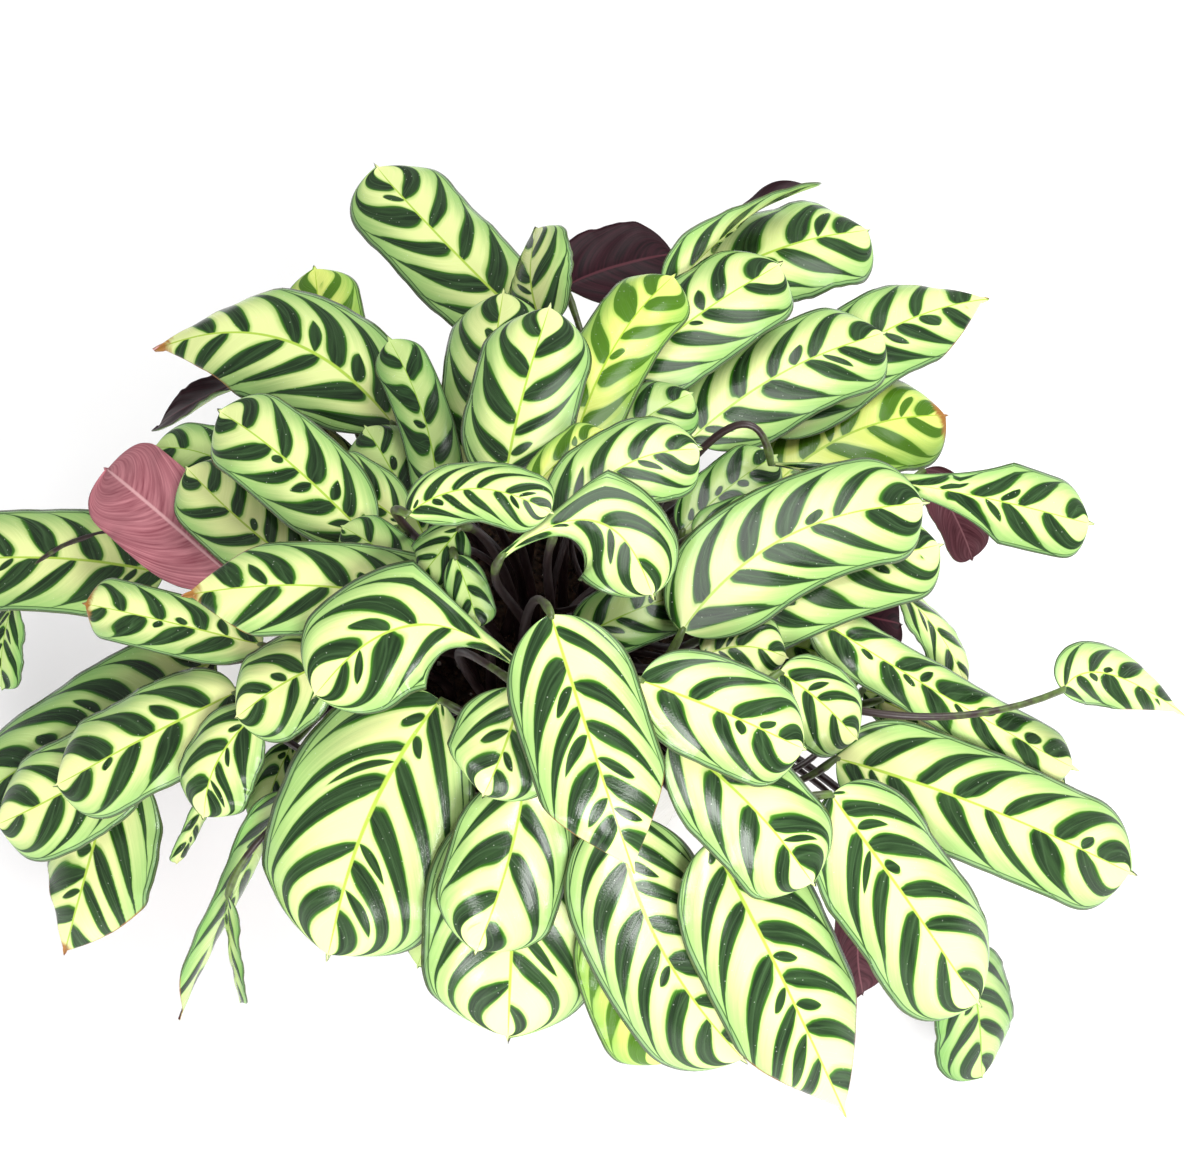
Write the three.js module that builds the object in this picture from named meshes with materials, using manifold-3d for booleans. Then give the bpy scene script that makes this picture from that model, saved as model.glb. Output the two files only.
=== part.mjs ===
// Potted ctenanthe burle-marxii: a crown of striped blades on slim stalks, standing in potting
// soil in a plain round pot. Millimetres, +Z up, origin at the centre of the pot's underside.
import * as THREE from 'three';
import Module from 'manifold-3d';

const wasm = await Module();
wasm.setup();

// Pot and soil
const POT_HEIGHT = 128;
const POT_RIM_RADIUS = 76;
const POT_FOOT_RADIUS = 57;
const POT_WALL = 4.5;
const POT_FLOOR = 6;
const SOIL_TOP = 112;
const SOIL_RIM_TOP = 108;
const SEAT_GAP = 0.3;

// Stalks
const STALK_FOOT_RADIUS = 2.1;
const STALK_TOP_RADIUS = 1.2;
const STALK_SINK = 9;
const STALK_STRAIGHT = 2;
const YOUNG_STALK_START = 0.22;
const STALK_SIDES = 4;
const STALK_AREA_RADIUS = 54;
const STALK_SPREAD = 0.34;
const STALK_SPACING = 11;

// Blades
const BLADE_THICKNESS = 0.7;
const BLADE_BASE_WIDTH = 2.4;
const BLADE_TIP_WIDTH = 1.8;
const BLADE_GAP = 1.9;
const LOWEST_LAYER = -22;

// The crown is laid out as it is seen from the front, 62 degrees above the horizon. Places in
// that view are in view units of 0.34 mm, across and down, with the view's centre at 600, 578.
const VIEW_RISE = 62 * Math.PI / 180;
const VIEW_DISTANCE = 1000;
const VIEW_UNIT = 0.34;
const VIEW_CENTRE = [600, 578];
const CROWN_CENTRE = [530, 640];
const CROWN_POINT = new THREE.Vector3(0, -40, 190);
const CROWN_RADIUS = 190;
const CROWN_DROP = 72;
const CROWN_LEAN = 0.25;

const ACROSS = new THREE.Vector3(1, 0, 0);
const UPWARD = new THREE.Vector3(0, Math.sin(VIEW_RISE), Math.cos(VIEW_RISE));
const OUTWARD = new THREE.Vector3(0, -Math.cos(VIEW_RISE), Math.sin(VIEW_RISE));
const VIEW_POINT = CROWN_POINT.clone()
  .addScaledVector(ACROSS, (VIEW_CENTRE[0] - CROWN_CENTRE[0]) * VIEW_UNIT)
  .addScaledVector(UPWARD, (CROWN_CENTRE[1] - VIEW_CENTRE[1]) * VIEW_UNIT);

// Each leaf, lowest in the pile first: name, kind, base, middle and tip of its midrib in view
// units, blade width in mm, and what sets it apart from the usual blade:
//   roll   degrees about the midrib at base and tip, 180 shows the underside
//   curl   degrees that each half bends down at base and tip
//   tilt   mm that base and tip stand out of the crown's surface
//   end    wedge for a blade that ends in a straight-sided point
//   neck   the part of the length over which the base is rolled up narrow
//   from   the leaf whose stalk this one's stalk grows from
const LEAVES = [
  ['left_under', 'maroon', [252, 380], [208, 399], [160, 426], 27,
    { roll: [140, 155], from: 'back_left_far' }],
  ['back_left_olive', 'olive', [355, 425], [327, 345], [315, 270], 31, {}],
  ['left_dark', 'deep', [400, 530], [335, 470], [268, 415], 22, {}],
  ['left_hanging', 'deep', [14, 600], [2, 645], [2, 688], 19, { tilt: [-6, -16], from: 'left_far' }],
  ['left_far', 'bright', [165, 574], [48, 557], [-88, 564], 40, { curl: [30, 22] }],
  ['left_behind', 'deep', [300, 522], [227, 463], [156, 447], 24, { from: 'left_dark' }],
  ['left_mauve', 'maroon', [238, 582], [168, 520], [108, 470], 36, { roll: [180, 180], curl: [16, 10] }],
  ['back_far', 'bright', [550, 344], [455, 251], [378, 168], 41, { curl: [34, 34] }],
  ['back_under', 'maroon', [566, 288], [612, 270], [672, 255], 36, { roll: [180, 170], curl: [20, 16] }],
  ['back_upright', 'bright', [545, 332], [529, 280], [536, 230], 34,
    { roll: [40, 52], curl: [30, 40], tilt: [0, 8] }],
  ['back_second', 'bright', [490, 500], [490, 396], [503, 294], 36, { curl: [36, 40] }],
  ['back_right_far', 'bright', [690, 292], [782, 246], [866, 230], 44, {}],
  ['back_folded', 'bright', [666, 298], [732, 232], [808, 185], 26,
    { roll: [-48, -150], curl: [30, 30] }],
  ['right_back_yellow', 'olive', [772, 487], [856, 430], [944, 415], 39, {}],
  ['right_back_under', 'maroon', [924, 470], [950, 510], [971, 558], 19,
    { roll: [165, 170], from: 'right_edge_on' }],
  ['back_right_long', 'bright', [770, 432], [872, 338], [983, 300], 36, { end: 'wedge' }],
  ['back_right_middle', 'bright', [690, 440], [780, 373], [882, 333], 38, {}],
  ['back_right', 'bright', [600, 397], [687, 322], [778, 265], 38, {}],
  ['middle_back_gap', 'deep', [590, 478], [636, 425], [690, 394], 26, { from: 'middle_back' }],
  ['back_narrow', 'olive', [570, 458], [612, 350], [672, 277], 28, { curl: [34, 38] }],
  ['front_left_low', 'bright', [120, 754], [88, 856], [66, 950], 54, { end: 'wedge', tilt: [0, -10] }],
  ['left_large', 'deep', [215, 662], [117, 705], [-22, 796], 40, { curl: [28, 26] }],
  ['left_corner', 'bright', [142, 742], [76, 784], [-2, 824], 40, { curl: [28, 30], from: 'left_large' }],
  ['left_lower', 'bright', [236, 692], [146, 736], [58, 784], 37, { curl: [30, 40] }],
  ['left_narrow', 'bright', [262, 645], [165, 621], [86, 604], 22, { roll: [-20, 10] }],
  ['front_left_filler', 'deep', [292, 745], [273, 785], [260, 832], 17, { from: 'front_left_pointing' }],
  ['front_left_tiny', 'maroon', [208, 796], [192, 832], [177, 862], 8,
    { roll: [60, 80], from: 'front_left_pointing' }],
  ['front_left_pointing', 'bright', [258, 712], [216, 762], [204, 816], 30, { curl: [34, 36] }],
  ['left_inner', 'bright', [330, 662], [284, 682], [238, 716], 34, {}],
  ['front_left_edge_on', 'deep', [290, 790], [242, 880], [182, 1012], 21,
    { roll: [68, 100], end: 'wedge', tilt: [0, -14] }],
  ['front_left_small', 'deep', [228, 895], [230, 948], [240, 1000], 14,
    { roll: [-40, -50], from: 'front_left_edge_on', tilt: [-8, -16] }],
  ['front_edge_on', 'deep', [475, 830], [440, 900], [418, 965], 28,
    { roll: [-20, -20], from: 'front_left_largest' }],
  ['front_left_largest', 'bright', [440, 700], [368, 815], [328, 954], 66,
    { curl: [24, 26], tilt: [0, -8] }],
  ['front_middle_dark', 'deep', [588, 800], [592, 880], [589, 962], 23, { tilt: [-4, -10] }],
  ['front_lowest', 'bright', [522, 800], [513, 920], [508, 1035], 60, { curl: [24, 30], tilt: [0, -10] }],
  ['front_low', 'bright', [525, 776], [508, 862], [477, 950], 40, { tilt: [0, -6] }],
  ['front_upper', 'bright', [522, 688], [506, 742], [484, 794], 36, {}],
  ['right_front_hanging', 'deep', [966, 950], [980, 1015], [982, 1075], 36, { tilt: [-4, -20] }],
  ['right_front_under', 'maroon', [872, 880], [857, 935], [862, 992], 20,
    { roll: [170, 180], tilt: [-6, -16], from: 'right_front_wavy' }],
  ['front_right_olive', 'olive', [615, 902], [630, 985], [668, 1062], 32, { tilt: [-4, -12] }],
  ['front_right_glossy', 'bright', [618, 815], [658, 942], [742, 1058], 46,
    { curl: [34, 36], tilt: [0, -8] }],
  ['front_right_wedge', 'bright', [712, 842], [778, 968], [843, 1110], 47,
    { end: 'wedge', tilt: [0, -12] }],
  ['right_middle_shade', 'deep', [862, 690], [930, 712], [1002, 748], 20, { from: 'right_behind' }],
  ['right_shade', 'deep', [760, 640], [812, 650], [864, 672], 22, { from: 'right_inner_curled' }],
  ['right_behind', 'bright', [880, 700], [975, 742], [1064, 790], 22, {}],
  ['right_curled', 'bright', [898, 590], [938, 630], [966, 684], 22,
    { roll: [30, 10], from: 'right_folded' }],
  ['right_under', 'maroon', [788, 598], [843, 612], [899, 624], 23,
    { roll: [180, 180], from: 'right_second' }],
  ['right_folded', 'bright', [810, 613], [935, 690], [1072, 767], 22, { curl: [40, 40] }],
  ['right_second', 'bright', [705, 635], [825, 577], [938, 545], 34, {}],
  ['right_tip', 'bright', [1063, 690], [1106, 673], [1180, 712], 23,
    { curl: [30, 30], tilt: [60, 48], end: 'wedge' }],
  ['right_lower', 'bright', [836, 758], [983, 806], [1129, 872], 41, { curl: [24, 28] }],
  ['right_front_wavy', 'bright', [831, 794], [901, 889], [977, 1001], 45,
    { curl: [22, 34], tilt: [0, -8] }],
  ['front_right', 'bright', [672, 738], [752, 806], [812, 882], 38, {}],
  ['middle_right_olive', 'olive', [682, 545], [712, 520], [744, 503], 15,
    { from: 'middle_right_striped' }],
  ['middle_right_gap', 'deep', [682, 532], [728, 488], [775, 456], 22, { from: 'right_upper' }],
  ['middle_right_striped', 'deep', [694, 534], [745, 514], [798, 506], 15, {}],
  ['middle_dark', 'deep', [575, 640], [628, 613], [690, 591], 24, { from: 'middle_right_low' }],
  ['middle_right_low', 'bright', [704, 656], [744, 646], [786, 657], 26, {}],
  ['right_inner_curled', 'bright', [780, 672], [822, 702], [856, 738], 30, {}],
  ['right_edge_on', 'bright', [771, 464], [950, 491], [1088, 523], 30,
    { roll: [-60, -8], curl: [30, 26], neck: 0.7 }],
  ['right_upper', 'bright', [682, 631], [785, 537], [922, 503], 40, { curl: [24, 24] }],
  ['middle_right', 'bright', [640, 680], [722, 711], [802, 748], 35, {}],
  ['back_left_far', 'bright', [393, 424], [284, 338], [161, 348], 49, { curl: [32, 32], end: 'wedge' }],
  ['middle_left_gap', 'deep', [428, 545], [398, 482], [366, 428], 26, { from: 'left_upper_inner' }],
  ['back_left_dark', 'deep', [437, 505], [426, 424], [390, 341], 19, { curl: [34, 34] }],
  ['back_bright', 'bright', [505, 482], [521, 400], [549, 308], 38, { curl: [34, 38] }],
  ['middle_olive', 'olive', [530, 492], [564, 456], [601, 430], 16, { from: 'middle_back' }],
  ['middle_back', 'bright', [556, 530], [622, 466], [698, 449], 32, {}],
  ['left_brown_tip', 'bright', [303, 570], [240, 520], [188, 469], 31, {}],
  ['left_upper_inner', 'bright', [402, 523], [360, 492], [315, 467], 25, {}],
  ['left_upper', 'bright', [368, 538], [288, 461], [221, 412], 33, { curl: [32, 34] }],
  ['left_dull', 'deep', [425, 587], [385, 553], [343, 527], 19, { from: 'left_wedge' }],
  ['left_wedge', 'bright', [468, 618], [330, 586], [189, 595], 33, { end: 'wedge' }],
  ['middle_cut', 'deep', [460, 528], [440, 552], [420, 577], 20, {}],
  ['middle_small', 'deep', [455, 556], [468, 591], [478, 627], 14, { from: 'middle_cut' }],
  ['middle_left', 'bright', [528, 675], [415, 625], [316, 694], 42,
    { roll: [30, 0], curl: [40, 26], neck: 0.5 }],
  ['front_bright', 'bright', [551, 615], [589, 735], [632, 867], 41, { end: 'wedge' }],
  ['middle_front', 'bright', [502, 556], [597, 521], [652, 594], 38,
    { roll: [-30, 16], curl: [40, 26], neck: 0.5 }],
  ['middle_top', 'bright', [408, 514], [474, 488], [550, 512], 22, { tilt: [0, 4] }],
];

const POT_COLOUR = 0xf2f1ec;
const POT_ROUGHNESS = 0.35;
const SOIL_COLOUR = 0x3a2c22;
const SOIL_ROUGHNESS = 0.95;
const LEAF_ROUGHNESS = 0.45;
const KIND_COLOUR = { bright: 0xa9d278, deep: 0x5d8a5c, olive: 0xa8b84a, maroon: 0x6b3b4a };
const DEFAULT_ROLL = [0, 0];
const DEFAULT_CURL = [28, 30];
const DEFAULT_TILT = [0, -4];

const mix = (pair, t) => pair[0] + (pair[1] - pair[0]) * t;
const radians = (degrees) => degrees * Math.PI / 180;

// Height of the crown's domed surface over the view plane, at a place in the view
function crownHeight(across, down) {
  const x = (across - CROWN_CENTRE[0]) * VIEW_UNIT;
  const u = (CROWN_CENTRE[1] - down) * VIEW_UNIT;
  return -CROWN_LEAN * u - CROWN_DROP * (x * x + u * u) / CROWN_RADIUS ** 2;
}

function fromView(across, down, height) {
  const unit = VIEW_UNIT * (1 - height / VIEW_DISTANCE);
  return VIEW_POINT.clone()
    .addScaledVector(ACROSS, (across - VIEW_CENTRE[0]) * unit)
    .addScaledVector(UPWARD, (VIEW_CENTRE[1] - down) * unit)
    .addScaledVector(OUTWARD, height);
}

function toView(point) {
  const offset = point.clone().sub(VIEW_POINT);
  const height = offset.dot(OUTWARD);
  const unit = VIEW_UNIT * (1 - height / VIEW_DISTANCE);
  return {
    across: VIEW_CENTRE[0] + offset.dot(ACROSS) / unit,
    down: VIEW_CENTRE[1] - offset.dot(UPWARD) / unit,
    height,
  };
}

const NOSE_START = 0.72;
const NOSE_DROP = 0.13;

// The midrib runs through base, middle and tip on one parabola in the view, and its end bends down
function ribPoint(leaf, t) {
  const a = (1 - t) * (1 - 2 * t);
  const b = 4 * t * (1 - t);
  const c = t * (2 * t - 1);
  const across = a * leaf.base[0] + b * leaf.middle[0] + c * leaf.tip[0];
  const down = a * leaf.base[1] + b * leaf.middle[1] + c * leaf.tip[1];
  const nose = NOSE_DROP * leaf.width * Math.max(0, (t - NOSE_START) / (1 - NOSE_START)) ** 2;
  return fromView(across, down, crownHeight(across, down) + leaf.rise + mix(leaf.tilt, t) - nose);
}

const FRAME_STEP = 0.01;
const SLOPE_STEP = 4;

// Directions at a place on the midrib: along it, across the blade and out of its upper face
function ribFrame(leaf, t) {
  const along = ribPoint(leaf, t + FRAME_STEP).sub(ribPoint(leaf, t - FRAME_STEP)).normalize();
  const spot = toView(ribPoint(leaf, t));
  const slopeAcross = (crownHeight(spot.across + SLOPE_STEP, spot.down)
    - crownHeight(spot.across - SLOPE_STEP, spot.down)) / (2 * SLOPE_STEP * VIEW_UNIT);
  const slopeUp = (crownHeight(spot.across, spot.down - SLOPE_STEP)
    - crownHeight(spot.across, spot.down + SLOPE_STEP)) / (2 * SLOPE_STEP * VIEW_UNIT);
  const faceOut = OUTWARD.clone().addScaledVector(ACROSS, -slopeAcross).addScaledVector(UPWARD, -slopeUp);
  const side = along.clone().cross(faceOut).normalize();
  const out = side.clone().cross(along).normalize();
  const roll = radians(mix(leaf.roll, t));
  const rolledSide = side.clone().multiplyScalar(Math.cos(roll)).addScaledVector(out, Math.sin(roll));
  const rolledOut = out.clone().multiplyScalar(Math.cos(roll)).addScaledVector(side, -Math.sin(roll));
  return { along, side: rolledSide, out: rolledOut };
}

// Half the blade's width along its length: a round shoulder at the base, near-parallel sides, and
// a blunt or a straight-sided end, each a fixed number of half widths long
const SHOULDER_REACH = 1.5;
const ROUND_REACH = 0.75;
const WEDGE_REACH = 1.4;
const LONGEST_SHOULDER = 0.5;
const LONGEST_END = 0.45;
const ROLLED_SHARE = 0.15;
const NECK_POWER = 3.5;

function halfWidth(leaf, t) {
  const span = Math.hypot(leaf.tip[0] - leaf.base[0], leaf.tip[1] - leaf.base[1]) * VIEW_UNIT;
  const slimness = leaf.width / 2 / span;
  const shoulder = Math.min(LONGEST_SHOULDER, SHOULDER_REACH * slimness);
  const end = Math.min(LONGEST_END, (leaf.end === 'wedge' ? WEDGE_REACH : ROUND_REACH) * slimness);
  let share = 1;
  if (t < shoulder) share = (1 - (1 - t / shoulder) ** 2.2) ** 0.56;
  if (t < leaf.neck) share *= mix([ROLLED_SHARE, 1], (t / leaf.neck) ** NECK_POWER);
  const past = Math.max(0, (t - 1 + end) / end);
  share *= leaf.end === 'wedge' ? 1 - past ** 1.5 : (1 - past ** 2.8) ** 0.5;
  const least = mix([BLADE_BASE_WIDTH, BLADE_TIP_WIDTH], t) / 2;
  return Math.max(least, leaf.width / 2 * share);
}

const GROOVE = 0.07;

// A point of the blade: s runs from -1 to 1 across it, face is 1 on top, -1 below
function bladePoint(leaf, t, s, face) {
  const frame = ribFrame(leaf, t);
  const half = halfWidth(leaf, t);
  const bend = radians(mix(leaf.curl, t));
  const angle = bend * s;
  const sideways = half * Math.sin(angle) / Math.sin(bend);
  const wave = leaf.wave * s * s * Math.sin(2 * Math.PI * leaf.waves * t + leaf.phase + s);
  const sag = half * (1 - Math.cos(angle)) / Math.sin(bend) + GROOVE * half * (1 - Math.abs(s)) ** 2;
  const skin = face * BLADE_THICKNESS / 2;
  return ribPoint(leaf, t)
    .addScaledVector(frame.side, sideways + skin * Math.sin(angle))
    .addScaledVector(frame.out, wave - sag + skin * Math.cos(angle));
}

// Each blade is laid on the pile below it: it rises until it clears every blade already laid
const CELL = 6;
const SAMPLES_ALONG = 44;
const SAMPLES_ACROSS = 16;
const pile = new Map();
const cellKey = (i, j) => i * 10000 + j;

function bladeSamples(leaf) {
  const samples = [];
  for (let i = 0; i <= SAMPLES_ALONG; i++) {
    for (let j = 0; j <= SAMPLES_ACROSS; j++) {
      samples.push(bladePoint(leaf, i / SAMPLES_ALONG, 2 * j / SAMPLES_ACROSS - 1, 0));
    }
  }
  return samples;
}

function layOnPile(leaf) {
  for (let pass = 0; pass < 3; pass++) {
    let lift = 0;
    for (const point of bladeSamples(leaf)) {
      const spot = toView(point);
      const top = pile.get(cellKey(Math.floor(spot.across / CELL), Math.floor(spot.down / CELL)));
      if (top !== undefined) lift = Math.max(lift, top + BLADE_GAP - spot.height);
    }
    leaf.rise += lift;
  }
  for (const point of bladeSamples(leaf)) {
    const spot = toView(point);
    for (const di of [-1, 0, 1]) {
      for (const dj of [-1, 0, 1]) {
        const key = cellKey(Math.floor(spot.across / CELL) + di, Math.floor(spot.down / CELL) + dj);
        pile.set(key, Math.max(pile.get(key) ?? -Infinity, spot.height));
      }
    }
  }
}

// The margins wave gently, each blade in its own rhythm
const WAVE_SHARE = 0.025;
const FEWEST_WAVES = 1.6;
const WAVE_STEP = 0.37;
const GOLDEN_ANGLE = 2.4;

const leaves = LEAVES.map(([name, kind, base, middle, tip, width, extra], index) => ({
  name,
  kind,
  base,
  middle,
  tip,
  width,
  index,
  roll: extra.roll ?? DEFAULT_ROLL,
  curl: extra.curl ?? DEFAULT_CURL,
  tilt: extra.tilt ?? DEFAULT_TILT,
  end: extra.end ?? 'blunt',
  neck: extra.neck ?? 0,
  from: extra.from,
  wave: WAVE_SHARE * width,
  waves: FEWEST_WAVES + WAVE_STEP * (index % 4),
  phase: index * GOLDEN_ANGLE,
  rise: LOWEST_LAYER,
}));
for (const leaf of leaves) layOnPile(leaf);
const leafNamed = Object.fromEntries(leaves.map((leaf) => [leaf.name, leaf]));

// Stalk feet: each stands in the soil on its blade's side of the pot, and they push each other
// apart until none is closer than the spacing
const SPREADING_ROUNDS = 200;
const rooted = leaves.filter((leaf) => !leaf.from);
for (const leaf of rooted) {
  const base = ribPoint(leaf, 0);
  leaf.foot = new THREE.Vector2(base.x, base.y).multiplyScalar(STALK_SPREAD);
}
for (let round = 0; round < SPREADING_ROUNDS; round++) {
  for (const a of rooted) {
    for (const b of rooted) {
      if (a.index >= b.index) continue;
      const apart = b.foot.clone().sub(a.foot);
      const short = STALK_SPACING - apart.length();
      if (short <= 0) continue;
      apart.normalize().multiplyScalar(short / 2);
      a.foot.sub(apart);
      b.foot.add(apart);
    }
  }
  for (const leaf of rooted) leaf.foot.clampLength(0, STALK_AREA_RADIUS);
}

// Places that blades and stalks fill, as cubes with the leaf that fills each
const CUBE = 2.2;
const RIM_CLEARANCE = 4;
const filled = new Map();
const cubeKey = (i, j, k) => (i * 1000 + j) * 1000 + k;

function fill(point, owner) {
  const [i, j, k] = [point.x, point.y, point.z].map((value) => Math.floor(value / CUBE + 0.5));
  for (const di of [-1, 0, 1]) {
    for (const dj of [-1, 0, 1]) {
      for (const dk of [-1, 0, 1]) {
        const key = cubeKey(i + di, j + dj, k + dk);
        if (!filled.has(key)) filled.set(key, new Set());
        filled.get(key).add(owner);
      }
    }
  }
}

function isBlocked(point, family) {
  const reach = Math.hypot(point.x, point.y);
  const overWall = reach > POT_RIM_RADIUS - POT_WALL - RIM_CLEARANCE
    && reach < POT_RIM_RADIUS + RIM_CLEARANCE;
  if (overWall && point.z < POT_HEIGHT + RIM_CLEARANCE) return true;
  const [i, j, k] = [point.x, point.y, point.z].map((value) => Math.floor(value / CUBE + 0.5));
  const owners = filled.get(cubeKey(i, j, k));
  return owners !== undefined && [...owners].some((owner) => !family.has(owner));
}

for (const leaf of leaves) {
  for (const point of bladeSamples(leaf)) fill(point, leaf.name);
}

// A stalk rises from its foot, arches outward and meets its blade from below. It takes the
// clearest of a fan of curves that lean to either side.
const LEANS = [0, 5, -5, 10, -10, 15, -15, 21, -21, 28, -28, 36, -36, 46, -46, 60, -60, 76, -76];
const LOW_LEANS = [0.5, -0.2, 1.2];
const REACHES = [0.4, 0.2, 0.6, 0, 0.8];
const DROPS = [10, 22, 2, 36, 54];
const FIRST_RISE = 34;
const ARCH_OVER_RIM = 24;
const BEND_SHARE = 0.42;
const STALK_STATIONS = [0.22, 0.46, 0.7, 0.9];
const ROUTE_STEPS = 10;

function stalkCurve(leaf, lean, lowLean, reach, drop) {
  const top = ribPoint(leaf, 0);
  const frame = ribFrame(leaf, 0);
  let foot;
  if (leaf.from) {
    foot = leafNamed[leaf.from].curve.getPoint(YOUNG_STALK_START);
  } else {
    foot = new THREE.Vector3(leaf.foot.x, leaf.foot.y, SOIL_TOP + STALK_STRAIGHT);
  }
  const span = Math.hypot(top.x - foot.x, top.y - foot.y);
  const aside = frame.side.clone().multiplyScalar(lean);
  const knee = top.clone().addScaledVector(frame.along, -reach * span).add(aside);
  knee.z = Math.max(knee.z - drop, POT_HEIGHT + ARCH_OVER_RIM);
  const rise = foot.clone().addScaledVector(aside, lowLean);
  rise.z = foot.z + Math.max(FIRST_RISE, BEND_SHARE * (top.z - foot.z));
  return new THREE.CubicBezierCurve3(foot, rise, knee, top);
}

// Places close together along the straight stretches between a stalk's stations
function routePlaces(curve) {
  const stations = [0, ...STALK_STATIONS, 1].map((share) => curve.getPoint(share));
  const places = [stations[0]];
  for (let n = 1; n < stations.length; n++) {
    for (let k = 1; k <= ROUTE_STEPS; k++) {
      places.push(stations[n - 1].clone().lerp(stations[n], k / ROUTE_STEPS));
    }
  }
  return places;
}

function routeStalk(leaf) {
  const family = new Set([leaf.name, leaf.from]);
  const fan = DROPS.flatMap((drop) => REACHES.flatMap((reach) => LOW_LEANS.flatMap(
    (lowLean) => LEANS.map((lean) => [lean, lowLean, reach, drop]),
  )));
  let least = Infinity;
  for (const choice of fan) {
    const curve = stalkCurve(leaf, ...choice);
    const steps = routePlaces(curve).filter((place) => isBlocked(place, family)).length;
    if (steps < least) {
      least = steps;
      leaf.curve = curve;
    }
    if (least === 0) break;
  }
  for (const place of routePlaces(leaf.curve)) fill(place, leaf.name);
}
for (const leaf of rooted) routeStalk(leaf);
for (const leaf of leaves.filter((each) => each.from)) routeStalk(leaf);

function solidOf(positions, triangles) {
  return new wasm.Manifold(new wasm.Mesh({
    numProp: 3,
    vertProperties: new Float32Array(positions),
    triVerts: new Uint32Array(triangles),
  }));
}

const STATIONS_WIDE = 7;
const STATIONS_SLIM = 6;
const WIDE_BLADE = 28;

const CORNER = Math.PI / 4;

// Rings of a four-sided stem, from its last point back to its first, so that the last ring
// lies square to the given side. Returns the side of the first ring.
function addStem(positions, points, radii, side) {
  const normal = side.clone();
  const rings = [];
  for (let n = points.length - 1; n >= 0; n--) {
    const tangent = points[Math.min(n + 1, points.length - 1)].clone()
      .sub(points[Math.max(n - 1, 0)]).normalize();
    normal.addScaledVector(tangent, -normal.dot(tangent)).normalize();
    const binormal = normal.clone().cross(tangent);
    const ring = [];
    for (let k = 0; k < STALK_SIDES; k++) {
      const angle = CORNER + 2 * Math.PI * k / STALK_SIDES;
      ring.push(...points[n].clone()
        .addScaledVector(normal, radii[n] * Math.cos(angle))
        .addScaledVector(binormal, radii[n] * Math.sin(angle)).toArray());
    }
    rings.unshift(ring);
  }
  for (const ring of rings) positions.push(...ring);
  return normal;
}

function stemTriangles(ringCount) {
  const triangles = [0, 1, 2, 0, 2, 3];
  for (let n = 0; n < ringCount - 1; n++) {
    for (let k = 0; k < STALK_SIDES; k++) {
      const a = n * STALK_SIDES + k;
      const b = n * STALK_SIDES + (k + 1) % STALK_SIDES;
      triangles.push(a + STALK_SIDES, b + STALK_SIDES, b, a + STALK_SIDES, b, a);
    }
  }
  return triangles;
}

const NECK_LENGTH = 1;

// Points and radii up the stalk, from its hole, or from inside the stalk that it grows from
function stalkLine(leaf) {
  const points = [];
  const radii = [];
  const footRadius = leaf.from ? STALK_TOP_RADIUS : STALK_FOOT_RADIUS;
  if (leaf.from) {
    points.push(leaf.curve.getPoint(0));
  } else {
    points.push(new THREE.Vector3(leaf.foot.x, leaf.foot.y, SOIL_TOP - STALK_SINK + SEAT_GAP));
    points.push(new THREE.Vector3(leaf.foot.x, leaf.foot.y, SOIL_TOP + STALK_STRAIGHT));
    radii.push(footRadius);
  }
  radii.push(footRadius);
  for (const share of STALK_STATIONS) {
    points.push(leaf.curve.getPoint(share));
    radii.push(mix([footRadius, STALK_TOP_RADIUS], share));
  }
  points.push(ribPoint(leaf, 0).addScaledVector(ribFrame(leaf, 0).along, -NECK_LENGTH));
  radii.push(STALK_TOP_RADIUS);
  return { points, radii };
}

// A leaf as one closed solid: the stalk's rings, the blade's two faces split into triangles
// alike, its rim, and the neck where the stalk's last ring widens into the blade
function leafSolid(leaf) {
  const wide = leaf.width >= WIDE_BLADE;
  const along = wide ? STATIONS_WIDE : STATIONS_SLIM;
  const across = wide ? 4 : 2;
  const { points, radii } = stalkLine(leaf);
  const positions = [];
  leaf.footSide = addStem(positions, points, radii, ribFrame(leaf, 0).side);
  const triangles = stemTriangles(points.length);
  const first = points.length * STALK_SIDES;
  for (const face of [1, -1]) {
    for (let i = 0; i <= along; i++) {
      const t = (1 - Math.cos(Math.PI * i / along)) / 2;
      for (let j = 0; j <= across; j++) {
        positions.push(...bladePoint(leaf, t, 2 * j / across - 1, face).toArray());
      }
    }
  }
  const under = (along + 1) * (across + 1);
  const at = (i, j) => first + i * (across + 1) + j;
  for (let i = 0; i < along; i++) {
    for (let j = 0; j < across; j++) {
      const [a, b, c, d] = [at(i, j), at(i, j + 1), at(i + 1, j + 1), at(i + 1, j)];
      triangles.push(a, b, c, a, c, d);
      triangles.push(a + under, c + under, b + under, a + under, d + under, c + under);
    }
  }
  const rim = [];
  for (let i = 0; i < along; i++) rim.push(at(i, across));
  for (let j = across; j > 0; j--) rim.push(at(along, j));
  for (let i = along; i >= 0; i--) rim.push(at(i, 0));
  for (let n = 0; n < rim.length - 1; n++) {
    const [a, b] = [rim[n], rim[n + 1]];
    triangles.push(a, a + under, b + under, a, b + under, b);
  }
  const [topRight, topLeft, lowLeft, lowRight] = [4, 3, 2, 1].map((back) => first - back);
  const middle = across / 2;
  for (let j = 0; j < across; j++) {
    triangles.push(at(0, j + 1), at(0, j), j < middle ? topLeft : topRight);
    triangles.push(at(0, j) + under, at(0, j + 1) + under, j < middle ? lowLeft : lowRight);
  }
  triangles.push(at(0, middle), topLeft, topRight);
  triangles.push(at(0, middle) + under, lowRight, lowLeft);
  triangles.push(at(0, across), topRight, lowRight, at(0, across), lowRight, at(0, across) + under);
  triangles.push(topLeft, at(0, 0), at(0, 0) + under, topLeft, at(0, 0) + under, lowLeft);
  return solidOf(positions, triangles);
}

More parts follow.
